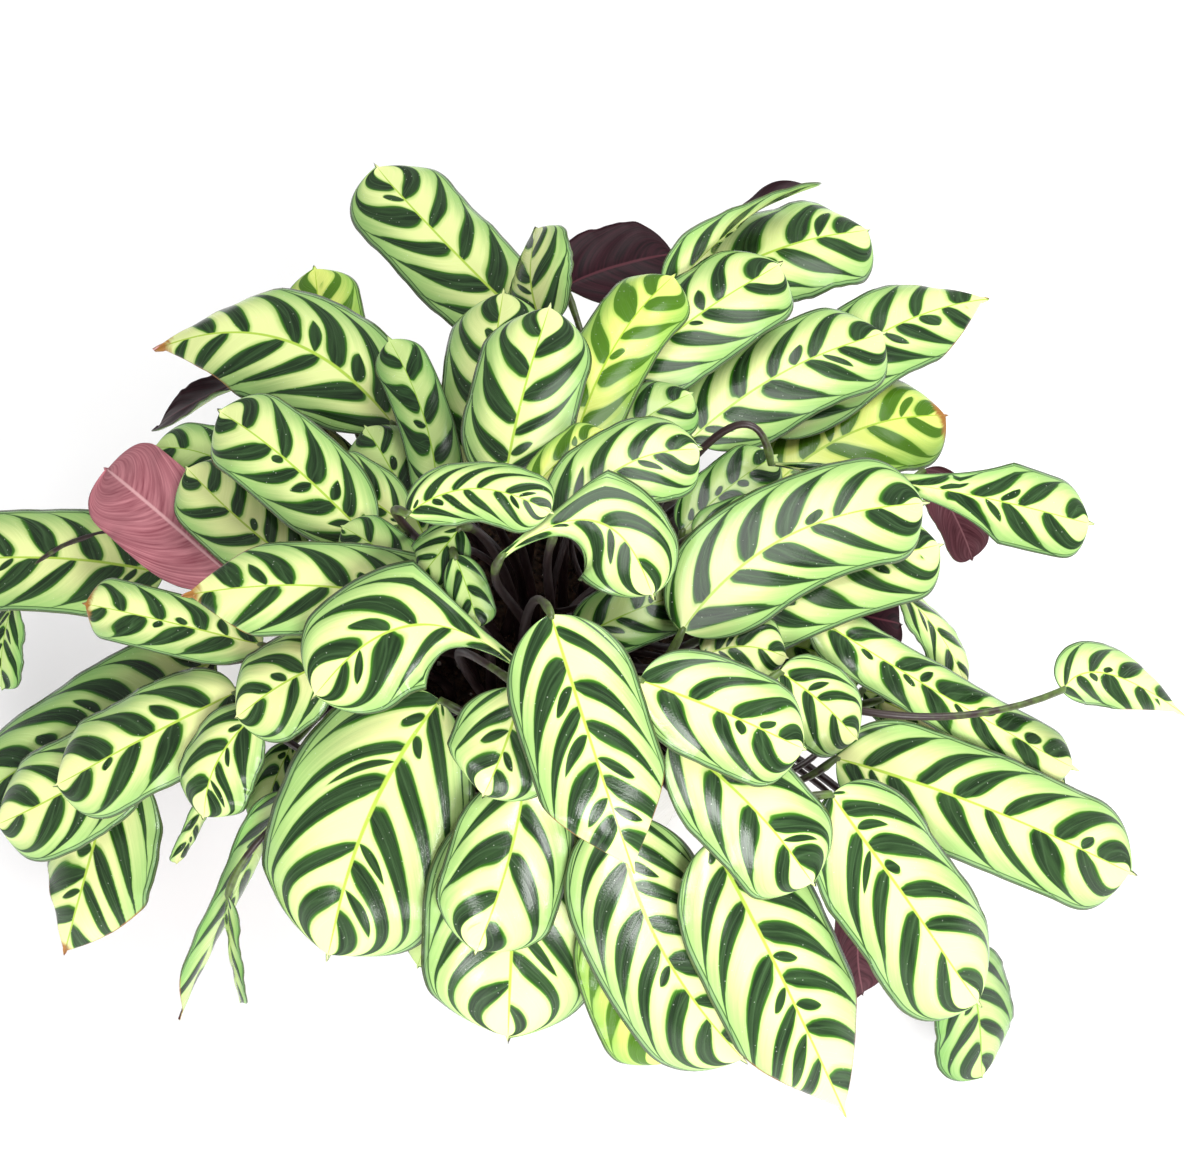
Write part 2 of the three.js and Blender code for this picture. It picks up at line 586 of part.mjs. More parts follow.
function meshOf(solid, name, colour, roughness) {
  const { vertProperties, triVerts, numProp } = solid.getMesh();
  const positions = new Float32Array(vertProperties.length / numProp * 3);
  for (let n = 0; n < positions.length / 3; n++) {
    for (let axis = 0; axis < 3; axis++) positions[3 * n + axis] = vertProperties[numProp * n + axis];
  }
  const geometry = new THREE.BufferGeometry();
  geometry.setAttribute('position', new THREE.BufferAttribute(positions, 3));
  geometry.setIndex(new THREE.BufferAttribute(new Uint32Array(triVerts), 1));
  geometry.computeVertexNormals();
  const mesh = new THREE.Mesh(geometry, new THREE.MeshStandardMaterial({ color: colour, roughness }));
  mesh.name = name;
  return mesh;
}

// A closed round body from a profile of radius and height, turned about +Z
const TURN_STEPS = 32;

function turnedSolid(profile) {
  const positions = [];
  const triangles = [];
  for (let k = 0; k < TURN_STEPS; k++) {
    const angle = 2 * Math.PI * k / TURN_STEPS;
    for (const [radius, height] of profile.slice(1, -1)) {
      positions.push(radius * Math.cos(angle), radius * Math.sin(angle), height);
    }
  }
  const rings = profile.length - 2;
  const start = positions.length / 3;
  positions.push(0, 0, profile[0][1], 0, 0, profile.at(-1)[1]);
  for (let k = 0; k < TURN_STEPS; k++) {
    const a = k * rings;
    const b = (k + 1) % TURN_STEPS * rings;
    triangles.push(start, b, a, start + 1, a + rings - 1, b + rings - 1);
    for (let n = 0; n < rings - 1; n++) {
      triangles.push(a + n, b + n, b + n + 1, a + n, b + n + 1, a + n + 1);
    }
  }
  return solidOf(positions, triangles);
}

// The pot tapers to its foot, with a softly rounded rim and an open top
function potRadius(height) {
  return POT_FOOT_RADIUS + (POT_RIM_RADIUS - POT_FOOT_RADIUS) * (height / POT_HEIGHT) ** 0.85;
}
const POT_PROFILE = [
  [0, 0],
  [POT_FOOT_RADIUS - 3, 0],
  [POT_FOOT_RADIUS, 3],
  [potRadius(32), 32],
  [potRadius(64), 64],
  [potRadius(96), 96],
  [potRadius(122), POT_HEIGHT - 2],
  [POT_RIM_RADIUS - 1.5, POT_HEIGHT],
  [POT_RIM_RADIUS - POT_WALL + 1, POT_HEIGHT],
  [potRadius(122) - POT_WALL, POT_HEIGHT - 2],
  [potRadius(96) - POT_WALL, 96],
  [potRadius(64) - POT_WALL, 64],
  [potRadius(32) - POT_WALL, 32],
  [potRadius(POT_FLOOR) - POT_WALL, POT_FLOOR],
  [0, POT_FLOOR],
];

// The soil fills the pot below its rim, a little higher in the middle, with a plain hole
// for each stalk
function soilSolid() {
  const inner = (height) => potRadius(height) - POT_WALL - 2 * SEAT_GAP;
  const profile = [
    [0, POT_FLOOR + SEAT_GAP],
    [inner(POT_FLOOR) - 0.2, POT_FLOOR + SEAT_GAP],
    [inner(32), 32],
    [inner(64), 64],
    [inner(96), 96],
    [inner(SOIL_RIM_TOP), SOIL_RIM_TOP],
    [STALK_AREA_RADIUS + STALK_FOOT_RADIUS * 2, SOIL_TOP],
    [0, SOIL_TOP],
  ];
  let soil = turnedSolid(profile);
  for (const leaf of rooted) {
    const ends = [SOIL_TOP - STALK_SINK, SOIL_TOP + STALK_STRAIGHT]
      .map((height) => new THREE.Vector3(leaf.foot.x, leaf.foot.y, height));
    const radius = STALK_FOOT_RADIUS + SEAT_GAP * Math.SQRT2;
    const positions = [];
    addStem(positions, ends, [radius, radius], leaf.footSide);
    soil = soil.subtract(solidOf(positions, [...stemTriangles(2), 4, 6, 5, 4, 7, 6]));
  }
  return soil;
}

const plant = new THREE.Group();
for (const leaf of rooted) {
  let solid = leafSolid(leaf);
  for (const young of leaves.filter((each) => each.from === leaf.name)) {
    solid = solid.add(leafSolid(young));
  }
  plant.add(meshOf(solid, `leaf_${leaf.name}`, KIND_COLOUR[leaf.kind], LEAF_ROUGHNESS));
}
plant.add(meshOf(turnedSolid(POT_PROFILE), 'pot', POT_COLOUR, POT_ROUGHNESS));
plant.add(meshOf(soilSolid(), 'soil', SOIL_COLOUR, SOIL_ROUGHNESS));

export default plant;
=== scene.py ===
import math
from functools import partial

import bmesh
import bpy
import numpy as np
from mathutils import Euler, Matrix, Vector, noise


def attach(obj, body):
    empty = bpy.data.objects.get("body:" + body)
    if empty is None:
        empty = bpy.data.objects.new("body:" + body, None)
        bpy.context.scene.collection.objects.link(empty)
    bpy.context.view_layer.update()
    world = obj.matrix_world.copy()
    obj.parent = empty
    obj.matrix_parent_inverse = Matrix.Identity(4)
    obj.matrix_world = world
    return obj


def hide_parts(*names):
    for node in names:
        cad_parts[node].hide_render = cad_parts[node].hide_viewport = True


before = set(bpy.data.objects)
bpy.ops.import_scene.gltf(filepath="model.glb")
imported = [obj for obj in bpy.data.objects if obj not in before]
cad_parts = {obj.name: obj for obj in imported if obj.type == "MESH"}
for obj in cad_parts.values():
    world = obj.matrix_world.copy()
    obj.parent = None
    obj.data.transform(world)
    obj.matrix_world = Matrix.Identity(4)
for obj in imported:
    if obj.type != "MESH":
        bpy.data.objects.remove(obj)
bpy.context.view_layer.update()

# The view. The plant is looked at from the front, 62 degrees above the horizon, and its crown is
# laid out in that view: places across and down are in view units of 0.34 mm in the plane
# of the crown, as in the solids of the leaves. Other lengths are in mm.
MM = 0.001
VIEW_RISE = math.radians(62)
VIEW_DISTANCE = 1000
VIEW_UNIT = 0.34
VIEW_CENTRE = (600, 578)
VIEW_WIDTH = 1200
SENSOR_WIDTH = 36
FARTHEST_SEEN = 20
CROWN_CENTRE = (530, 640)
CROWN_POINT = np.array((0.0, -40.0, 190.0))
ACROSS = np.array((1.0, 0.0, 0.0))
UPWARD = np.array((0.0, math.sin(VIEW_RISE), math.cos(VIEW_RISE)))
OUTWARD = np.array((0.0, -math.cos(VIEW_RISE), math.sin(VIEW_RISE)))
VIEW_POINT = (
    CROWN_POINT
    + ACROSS * (VIEW_CENTRE[0] - CROWN_CENTRE[0]) * VIEW_UNIT
    + UPWARD * (CROWN_CENTRE[1] - VIEW_CENTRE[1]) * VIEW_UNIT
)

camera_lens = bpy.data.cameras.new("camera")
camera_lens.sensor_fit = "HORIZONTAL"
camera_lens.sensor_width = SENSOR_WIDTH
camera_lens.lens = SENSOR_WIDTH * VIEW_DISTANCE / (VIEW_WIDTH * VIEW_UNIT)
camera_lens.clip_end = FARTHEST_SEEN
camera = bpy.data.objects.new("camera", camera_lens)
bpy.context.collection.objects.link(camera)
turn = Matrix((ACROSS, UPWARD, OUTWARD)).transposed().to_4x4()
camera.matrix_world = Matrix.Translation(Vector((VIEW_POINT + OUTWARD * VIEW_DISTANCE) * MM)) @ turn
bpy.context.scene.camera = camera


# The surface and the light. A plain white sheet under bright studio light: a soft source in front
# on the right, a wide one high behind it, a small low one in front on the left that shines back
# from the drooping ends of the blades, and white all around.
FLOOR_WIDTH = 8.0
PAPER_WHITE = "#FFFFFF"
# Drawn far coarser than real paper's grain, which would not show
PAPER_GRAIN = 3.33
PAPER_RELIEF = 0.2
ROOM_WHITE = "#FFFFFF"
ROOM_STRENGTH = 0.46
CROWN_AIM = Vector((0.0, -0.03, 0.17))
# Watts, then the width and the place in metres
LAMPS = {
    "key_light": (22, 0.6, (0.35, -1.2, 1.1)),
    "fill_light": (20, 1.1, (0.7, 0.5, 1.4)),
    "front_light": (4, 0.3, (-0.45, -1.15, 0.4)),
}


def linear(colour):
    """The linear red, green, blue and alpha of an sRGB hex colour."""
    parts = [int(colour[n:n + 2], 16) / 255 for n in (1, 3, 5)]
    return tuple(c / 12.92 if c <= 0.04045 else ((c + 0.055) / 1.055) ** 2.4 for c in parts) + (1.0,)


def grow(tree, kind, *inputs, out=0, **settings):
    """Add a node, such as "Mix" or "Math ADD", with its settings and links; give back an output.

    The inputs come in order, or in a dictionary by name or place.
    """
    kind, _, operation = kind.partition(" ")
    node = tree.nodes.new("ShaderNode" + kind)
    if operation:
        node.operation = operation
    for name, value in settings.items():
        setattr(node, name, value)
    named = inputs[0] if inputs and isinstance(inputs[0], dict) else dict(enumerate(inputs))
    for name, value in named.items():
        if isinstance(value, bpy.types.NodeSocket):
            tree.links.new(value, node.inputs[name])
        else:
            node.inputs[name].default_value = value
    return node.outputs[out]


def new_material(name, surface):
    """A material whose nodes are made by surface(add), which gives back the shader."""
    material = bpy.data.materials.new(name)
    material.use_nodes = True
    tree = material.node_tree
    tree.nodes.clear()
    end = tree.nodes.new("ShaderNodeOutputMaterial")
    tree.links.new(surface(partial(grow, tree)), end.inputs["Surface"])
    return material


def paper_sheet(add):
    """Matt white seamless paper: even and bright, with a grain that hardly shows."""
    grain = add("TexNoise", {"Scale": 1 / (PAPER_GRAIN * MM), "Detail": 3.0})
    relief = add("Bump", {"Strength": 0.05, "Distance": PAPER_RELIEF * MM, "Height": grain})
    return add("BsdfPrincipled", {
        "Base Color": linear(PAPER_WHITE), "Roughness": 0.9, "Normal": relief,
    })


bpy.ops.mesh.primitive_plane_add(size=FLOOR_WIDTH, location=(0, 0, 0))
floor = bpy.context.object
floor.name = "floor"
floor.data.materials.append(new_material("white_paper", paper_sheet))

room = bpy.data.worlds.new("room")
room.use_nodes = True
backdrop = room.node_tree.nodes["Background"].inputs
backdrop["Color"].default_value = linear(ROOM_WHITE)
backdrop["Strength"].default_value = ROOM_STRENGTH
bpy.context.scene.world = room
bpy.context.scene.view_settings.view_transform = "Standard"

for lamp_name, (power, width, place) in LAMPS.items():
    lamp = bpy.data.lights.new(lamp_name, "AREA")
    lamp.energy = power
    lamp.size = width
    light = bpy.data.objects.new(lamp_name, lamp)
    light.location = place
    light.rotation_euler = (CROWN_AIM - Vector(place)).to_track_quat("-Z", "Y").to_euler()
    bpy.context.collection.objects.link(light)


# The crown's layout. Each leaf is a long oblong blade whose midrib bows over in an arch; the
# blades lie on each other like tiles on a dome. The rows are the same as in the solids, lowest
# in the pile first.

# Name, kind, base, middle and tip of the midrib in view units, blade width, and what sets the
# blade apart: roll and curl in degrees and tilt in mm at base and tip, a wedge-shaped end, the
# share of its length over which its base is rolled narrow (neck), the leaf that it grows from.
LEAVES = (
    ("left_under", "maroon", (252, 380), (208, 399), (160, 426), 27,
     {"roll": (140, 155), "grows_from": "back_left_far"}),
    ("back_left_olive", "olive", (355, 425), (327, 345), (315, 270), 31),
    ("left_dark", "deep", (400, 530), (335, 470), (268, 415), 22),
    ("left_hanging", "deep", (14, 600), (2, 645), (2, 688), 19,
     {"tilt": (-6, -16), "grows_from": "left_far"}),
    ("left_far", "bright", (165, 574), (48, 557), (-88, 564), 40, {"curl": (30, 22)}),
    ("left_behind", "deep", (300, 522), (227, 463), (156, 447), 24, {"grows_from": "left_dark"}),
    ("left_mauve", "maroon", (238, 582), (168, 520), (108, 470), 36,
     {"roll": (180, 180), "curl": (16, 10)}),
    ("back_far", "bright", (550, 344), (455, 251), (378, 168), 41, {"curl": (34, 34)}),
    ("back_under", "maroon", (566, 288), (612, 270), (672, 255), 36,
     {"roll": (180, 170), "curl": (20, 16)}),
    ("back_upright", "bright", (545, 332), (529, 280), (536, 230), 34,
     {"roll": (40, 52), "curl": (30, 40), "tilt": (0, 8)}),
    ("back_second", "bright", (490, 500), (490, 396), (503, 294), 36, {"curl": (36, 40)}),
    ("back_right_far", "bright", (690, 292), (782, 246), (866, 230), 44),
    ("back_folded", "bright", (666, 298), (732, 232), (808, 185), 26,
     {"roll": (-48, -150), "curl": (30, 30)}),
    ("right_back_yellow", "olive", (772, 487), (856, 430), (944, 415), 39),
    ("right_back_under", "maroon", (924, 470), (950, 510), (971, 558), 19,
     {"roll": (165, 170), "grows_from": "right_edge_on"}),
    ("back_right_long", "bright", (770, 432), (872, 338), (983, 300), 36, {"end": "wedge"}),
    ("back_right_middle", "bright", (690, 440), (780, 373), (882, 333), 38),
    ("back_right", "bright", (600, 397), (687, 322), (778, 265), 38),
    ("middle_back_gap", "deep", (590, 478), (636, 425), (690, 394), 26, {"grows_from": "middle_back"}),
    ("back_narrow", "olive", (570, 458), (612, 350), (672, 277), 28, {"curl": (34, 38)}),
    ("front_left_low", "bright", (120, 754), (88, 856), (66, 950), 54,
     {"end": "wedge", "tilt": (0, -10)}),
    ("left_large", "deep", (215, 662), (117, 705), (-22, 796), 40, {"curl": (28, 26)}),
    ("left_corner", "bright", (142, 742), (76, 784), (-2, 824), 40,
     {"curl": (28, 30), "grows_from": "left_large"}),
    ("left_lower", "bright", (236, 692), (146, 736), (58, 784), 37, {"curl": (30, 40)}),
    ("left_narrow", "bright", (262, 645), (165, 621), (86, 604), 22, {"roll": (-20, 10)}),
    ("front_left_filler", "deep", (292, 745), (273, 785), (260, 832), 17,
     {"grows_from": "front_left_pointing"}),
    ("front_left_tiny", "maroon", (208, 796), (192, 832), (177, 862), 8,
     {"roll": (60, 80), "grows_from": "front_left_pointing"}),
    ("front_left_pointing", "bright", (258, 712), (216, 762), (204, 816), 30, {"curl": (34, 36)}),
    ("left_inner", "bright", (330, 662), (284, 682), (238, 716), 34),
    ("front_left_edge_on", "deep", (290, 790), (242, 880), (182, 1012), 21,
     {"roll": (68, 100), "end": "wedge", "tilt": (0, -14)}),
    ("front_left_small", "deep", (228, 895), (230, 948), (240, 1000), 14,
     {"roll": (-40, -50), "grows_from": "front_left_edge_on", "tilt": (-8, -16)}),
    ("front_edge_on", "deep", (475, 830), (440, 900), (418, 965), 28,
     {"roll": (-20, -20), "grows_from": "front_left_largest"}),
    ("front_left_largest", "bright", (440, 700), (368, 815), (328, 954), 66,
     {"curl": (24, 26), "tilt": (0, -8)}),
    ("front_middle_dark", "deep", (588, 800), (592, 880), (589, 962), 23, {"tilt": (-4, -10)}),
    ("front_lowest", "bright", (522, 800), (513, 920), (508, 1035), 60,
     {"curl": (24, 30), "tilt": (0, -10)}),
    ("front_low", "bright", (525, 776), (508, 862), (477, 950), 40, {"tilt": (0, -6)}),
    ("front_upper", "bright", (522, 688), (506, 742), (484, 794), 36),
    ("right_front_hanging", "deep", (966, 950), (980, 1015), (982, 1075), 36, {"tilt": (-4, -20)}),
    ("right_front_under", "maroon", (872, 880), (857, 935), (862, 992), 20,
     {"roll": (170, 180), "tilt": (-6, -16), "grows_from": "right_front_wavy"}),
    ("front_right_olive", "olive", (615, 902), (630, 985), (668, 1062), 32, {"tilt": (-4, -12)}),
    ("front_right_glossy", "bright", (618, 815), (658, 942), (742, 1058), 46,
     {"curl": (34, 36), "tilt": (0, -8)}),
    ("front_right_wedge", "bright", (712, 842), (778, 968), (843, 1110), 47,
     {"end": "wedge", "tilt": (0, -12)}),
    ("right_middle_shade", "deep", (862, 690), (930, 712), (1002, 748), 20,
     {"grows_from": "right_behind"}),
    ("right_shade", "deep", (760, 640), (812, 650), (864, 672), 22, {"grows_from": "right_inner_curled"}),
    ("right_behind", "bright", (880, 700), (975, 742), (1064, 790), 22),
    ("right_curled", "bright", (898, 590), (938, 630), (966, 684), 22,
     {"roll": (30, 10), "grows_from": "right_folded"}),
    ("right_under", "maroon", (788, 598), (843, 612), (899, 624), 23,
     {"roll": (180, 180), "grows_from": "right_second"}),
    ("right_folded", "bright", (810, 613), (935, 690), (1072, 767), 22, {"curl": (40, 40)}),
    ("right_second", "bright", (705, 635), (825, 577), (938, 545), 34),
    ("right_tip", "bright", (1063, 690), (1106, 673), (1180, 712), 23,
     {"curl": (30, 30), "tilt": (60, 48), "end": "wedge"}),
    ("right_lower", "bright", (836, 758), (983, 806), (1129, 872), 41, {"curl": (24, 28)}),
    ("right_front_wavy", "bright", (831, 794), (901, 889), (977, 1001), 45,
     {"curl": (22, 34), "tilt": (0, -8)}),
    ("front_right", "bright", (672, 738), (752, 806), (812, 882), 38),
    ("middle_right_olive", "olive", (682, 545), (712, 520), (744, 503), 15,
     {"grows_from": "middle_right_striped"}),
    ("middle_right_gap", "deep", (682, 532), (728, 488), (775, 456), 22, {"grows_from": "right_upper"}),
    ("middle_right_striped", "deep", (694, 534), (745, 514), (798, 506), 15),
    ("middle_dark", "deep", (575, 640), (628, 613), (690, 591), 24, {"grows_from": "middle_right_low"}),
    ("middle_right_low", "bright", (704, 656), (744, 646), (786, 657), 26),
    ("right_inner_curled", "bright", (780, 672), (822, 702), (856, 738), 30),
    ("right_edge_on", "bright", (771, 464), (950, 491), (1088, 523), 30,
     {"roll": (-60, -8), "curl": (30, 26), "neck": 0.7}),
    ("right_upper", "bright", (682, 631), (785, 537), (922, 503), 40, {"curl": (24, 24)}),
    ("middle_right", "bright", (640, 680), (722, 711), (802, 748), 35),
    ("back_left_far", "bright", (393, 424), (284, 338), (161, 348), 49,
     {"curl": (32, 32), "end": "wedge"}),
    ("middle_left_gap", "deep", (428, 545), (398, 482), (366, 428), 26,
     {"grows_from": "left_upper_inner"}),
    ("back_left_dark", "deep", (437, 505), (426, 424), (390, 341), 19, {"curl": (34, 34)}),
    ("back_bright", "bright", (505, 482), (521, 400), (549, 308), 38, {"curl": (34, 38)}),
    ("middle_olive", "olive", (530, 492), (564, 456), (601, 430), 16, {"grows_from": "middle_back"}),
    ("middle_back", "bright", (556, 530), (622, 466), (698, 449), 32),
    ("left_brown_tip", "bright", (303, 570), (240, 520), (188, 469), 31),
    ("left_upper_inner", "bright", (402, 523), (360, 492), (315, 467), 25),
    ("left_upper", "bright", (368, 538), (288, 461), (221, 412), 33, {"curl": (32, 34)}),
    ("left_dull", "deep", (425, 587), (385, 553), (343, 527), 19, {"grows_from": "left_wedge"}),
    ("left_wedge", "bright", (468, 618), (330, 586), (189, 595), 33, {"end": "wedge"}),
    ("middle_cut", "deep", (460, 528), (440, 552), (420, 577), 20),
    ("middle_small", "deep", (455, 556), (468, 591), (478, 627), 14, {"grows_from": "middle_cut"}),
    ("middle_left", "bright", (528, 675), (415, 625), (316, 694), 42,
     {"roll": (30, 0), "curl": (40, 26), "neck": 0.5}),
    ("front_bright", "bright", (551, 615), (589, 735), (632, 867), 41, {"end": "wedge"}),
    ("middle_front", "bright", (502, 556), (597, 521), (652, 594), 38,
     {"roll": (-30, 16), "curl": (40, 26), "neck": 0.5}),
    ("middle_top", "bright", (408, 514), (474, 488), (550, 512), 22, {"tilt": (0, 4)}),
)
CROWN_RADIUS = 190
CROWN_DROP = 72
CROWN_LEAN = 0.25
BLADE_BASE_WIDTH = 2.4
BLADE_TIP_WIDTH = 1.8
BLADE_GAP = 1.9
LOWEST_LAYER = -22
FRAME_STEP = 0.01
SLOPE_STEP = 4
SHOULDER_REACH = 1.5
SHOULDER_ROUNDING = (2.2, 0.56)
LONGEST_SHOULDER = 0.5
# How far the end reaches, in half widths, and the two powers that round it
ENDS = {"blunt": (0.75, 2.8, 0.5), "wedge": (1.4, 1.5, 1)}
LONGEST_END = 0.45
ROLLED_SHARE = 0.15
NECK_POWER = 3.5
NOSE_START = 0.72
NOSE_DROP = 0.13
POINT_LENGTH = 0.024
POINT_TAPER = 0.85
GROOVE = 0.07
WAVE_SHARE = 0.025
FEWEST_WAVES = 1.6
WAVE_STEP = 0.37
WAVE_KINDS = 4
GOLDEN_ANGLE = 2.4


class Leaf:
    """One row of the table, with the usual values where it gives none."""

    roll, curl, tilt = (0, 0), (28, 30), (0, -4)
    end, neck, grows_from = "blunt", 0, None
    rise = LOWEST_LAYER

    def __init__(self, index, name, kind, base, middle, tip, width, extra=()):
        self.index, self.name, self.kind, self.width = index, name, kind, width
        self.base, self.middle, self.tip = base, middle, tip
        self.wave = WAVE_SHARE * width
        self.waves = FEWEST_WAVES + WAVE_STEP * (index % WAVE_KINDS)
        self.phase = index * GOLDEN_ANGLE
        vars(self).update(extra)


def mix(pair, t):
    return pair[0] + (pair[1] - pair[0]) * t


def unit(vectors):
    return vectors / np.linalg.norm(vectors, axis=-1, keepdims=True)


def crown_height(across, down):
    """Height of the crown's dome over the view plane."""
    x = (across - CROWN_CENTRE[0]) * VIEW_UNIT
    u = (CROWN_CENTRE[1] - down) * VIEW_UNIT
    return -CROWN_LEAN * u - CROWN_DROP * (x * x + u * u) / CROWN_RADIUS ** 2


def from_view(across, down, height):
    """Points in space from places in the view and heights over its plane."""
    scale = VIEW_UNIT * (1 - height / VIEW_DISTANCE)
    return (
        VIEW_POINT
        + ACROSS * ((across - VIEW_CENTRE[0]) * scale)[..., None]
        + UPWARD * ((VIEW_CENTRE[1] - down) * scale)[..., None]
        + OUTWARD * np.asarray(height)[..., None]
    )


def to_view(points):
    offset = points - VIEW_POINT
    height = offset @ OUTWARD
    scale = VIEW_UNIT * (1 - height / VIEW_DISTANCE)
    return VIEW_CENTRE[0] + offset @ ACROSS / scale, VIEW_CENTRE[1] - offset @ UPWARD / scale, height


def rib_points(leaf, t):
    """The midrib: one parabola in the view through base, middle and tip, bent down at its end."""
    a, b, c = (1 - t) * (1 - 2 * t), 4 * t * (1 - t), t * (2 * t - 1)
    across = a * leaf.base[0] + b * leaf.middle[0] + c * leaf.tip[0]
    down = a * leaf.base[1] + b * leaf.middle[1] + c * leaf.tip[1]
    nose = NOSE_DROP * leaf.width * np.maximum(0, (t - NOSE_START) / (1 - NOSE_START)) ** 2
    return from_view(across, down, crown_height(across, down) + leaf.rise + mix(leaf.tilt, t) - nose)


def rib_frames(leaf, t):
    """Directions along the midrib, across the blade and out of its upper face."""
    along = unit(rib_points(leaf, t + FRAME_STEP) - rib_points(leaf, t - FRAME_STEP))
    across, down, _ = to_view(rib_points(leaf, t))
    span = 2 * SLOPE_STEP * VIEW_UNIT
    slope_across = (crown_height(across + SLOPE_STEP, down) - crown_height(across - SLOPE_STEP, down)) / span
    slope_up = (crown_height(across, down - SLOPE_STEP) - crown_height(across, down + SLOPE_STEP)) / span
    face_out = OUTWARD - ACROSS * slope_across[..., None] - UPWARD * slope_up[..., None]
    side = unit(np.cross(along, face_out))
    out = unit(np.cross(side, along))
    roll = np.radians(mix(leaf.roll, t))[..., None]
    return along, side * np.cos(roll) + out * np.sin(roll), out * np.cos(roll) - side * np.sin(roll)


def half_width(leaf, t):
    """Half the blade's width: round shoulder, near-parallel sides, blunt or wedge end, tiny point."""
    slimness = leaf.width / 2 / (math.dist(leaf.tip, leaf.base) * VIEW_UNIT)
    shoulder = min(LONGEST_SHOULDER, SHOULDER_REACH * slimness)
    end_reach, fullness, rounding = ENDS[leaf.end]
    end = min(LONGEST_END, end_reach * slimness)
    share = (1 - np.clip(1 - t / shoulder, 0, 1) ** SHOULDER_ROUNDING[0]) ** SHOULDER_ROUNDING[1]
    if leaf.neck:
        share = share * mix((ROLLED_SHARE, 1), np.clip(t / leaf.neck, 0, 1) ** NECK_POWER)
    past = np.clip((t - 1 + end) / end, 0, 1)
    share = share * (1 - past ** fullness) ** rounding
    half = np.maximum(mix((BLADE_BASE_WIDTH, BLADE_TIP_WIDTH), t) / 2, leaf.width / 2 * share)
    return half * (1 - POINT_TAPER * np.clip((t - 1) / POINT_LENGTH, 0, 1))


def blade_points(leaf, t, s, skin=0.0, extra_wave=0.0):
    """Points of the blade for every t along it and s across it, skin mm out of its middle."""
    _, side, out = rib_frames(leaf, t)
    half = half_width(leaf, t)[:, None]
    bend = np.radians(mix(leaf.curl, t))[:, None]
    angle = bend * s[None, :]
    sideways = half * np.sin(angle) / np.sin(bend)
    wave = leaf.wave * s * s * np.sin(2 * np.pi * leaf.waves * t[:, None] + leaf.phase + s)
    sag = half * (1 - np.cos(angle)) / np.sin(bend) + GROOVE * half * (1 - np.abs(s)) ** 2
    return (
        rib_points(leaf, t)[:, None, :]
        + side[:, None, :] * (sideways + skin * np.sin(angle))[..., None]
        + out[:, None, :] * (wave + extra_wave - sag + skin * np.cos(angle))[..., None]
    )


leaves = [Leaf(index, *row) for index, row in enumerate(LEAVES)]
leaf_named = {leaf.name: leaf for leaf in leaves}

# Each blade is laid on the pile below it and rises until it clears every blade already laid.
CELL = 6
SAMPLES_ALONG = 44
SAMPLES_ACROSS = 16
LAYING_ROUNDS = 3
NEAR = (-1, 0, 1)
pile = {}


def blade_samples(leaf):
    t = np.arange(SAMPLES_ALONG + 1) / SAMPLES_ALONG
    s = 2 * np.arange(SAMPLES_ACROSS + 1) / SAMPLES_ACROSS - 1
    return blade_points(leaf, t, s).reshape(-1, 3)


def pile_cells(leaf):
    across, down, height = to_view(blade_samples(leaf))
    return np.floor(across / CELL).astype(int), np.floor(down / CELL).astype(int), height


for leaf in leaves:
    for _ in range(LAYING_ROUNDS):
        lift = 0.0
        for i, j, height in zip(*pile_cells(leaf)):
            lift = max(lift, pile.get((i, j), -math.inf) + BLADE_GAP - height)
        leaf.rise += lift
    for i, j, height in zip(*pile_cells(leaf)):
        for cell in ((i + di, j + dj) for di in NEAR for dj in NEAR):
            pile[cell] = max(pile.get(cell, -math.inf), height)


# The stalks' routes. Each stalk stands in the soil on its blade's side of the pot, rises,
# arches outward and meets its blade from below. It takes the clearest of a fan of curves, and the
# search is the same as in the solids, so that each stalk stays where its solid is.
POT_HEIGHT = 128
POT_RIM_RADIUS = 76
POT_WALL = 4.5
SOIL_TOP = 112
STALK_STRAIGHT = 2
YOUNG_STALK_START = 0.22
STALK_AREA_RADIUS = 54
STALK_SPREAD = 0.34
STALK_SPACING = 11
SPREADING_ROUNDS = 200
CUBE = 2.2
RIM_CLEARANCE = 4
LEANS = (0, 5, -5, 10, -10, 15, -15, 21, -21, 28, -28, 36, -36, 46, -46, 60, -60, 76, -76)
LOW_LEANS = (0.5, -0.2, 1.2)
REACHES = (0.4, 0.2, 0.6, 0, 0.8)
DROPS = (10, 22, 2, 36, 54)
FIRST_RISE = 34
ARCH_OVER_RIM = 24
BEND_SHARE = 0.42
STALK_STATIONS = (0, 0.22, 0.46, 0.7, 0.9, 1)
ROUTE_STEPS = 10

START = np.zeros(1)
rooted = [leaf for leaf in leaves if not leaf.grows_from]
for leaf in rooted:
    leaf.foot = rib_points(leaf, START)[0, :2] * STALK_SPREAD
for _ in range(SPREADING_ROUNDS):
    for number, a in enumerate(rooted):
        for b in rooted[number + 1:]:
            dx, dy = b.foot[0] - a.foot[0], b.foot[1] - a.foot[1]
            apart = math.sqrt(dx * dx + dy * dy)
            short = STALK_SPACING - apart
            if short > 0:
                push = np.array((dx / apart, dy / apart)) * (short / 2)
                a.foot = a.foot - push
                b.foot = b.foot + push
    for leaf in rooted:
        reach = float(np.hypot(*leaf.foot))
        if reach > STALK_AREA_RADIUS:
            leaf.foot = leaf.foot / reach * STALK_AREA_RADIUS

filled = {}


def cubes_of(points):
    return np.floor(points / CUBE + 0.5).astype(int)


def fill(points, owner):
    """Note which cubes of space a leaf fills."""
    spread = np.array([(i, j, k) for i in NEAR for j in NEAR for k in NEAR])
    for cube in np.unique((cubes_of(points)[:, None, :] + spread).reshape(-1, 3), axis=0):
        filled.setdefault(tuple(cube.tolist()), set()).add(owner)


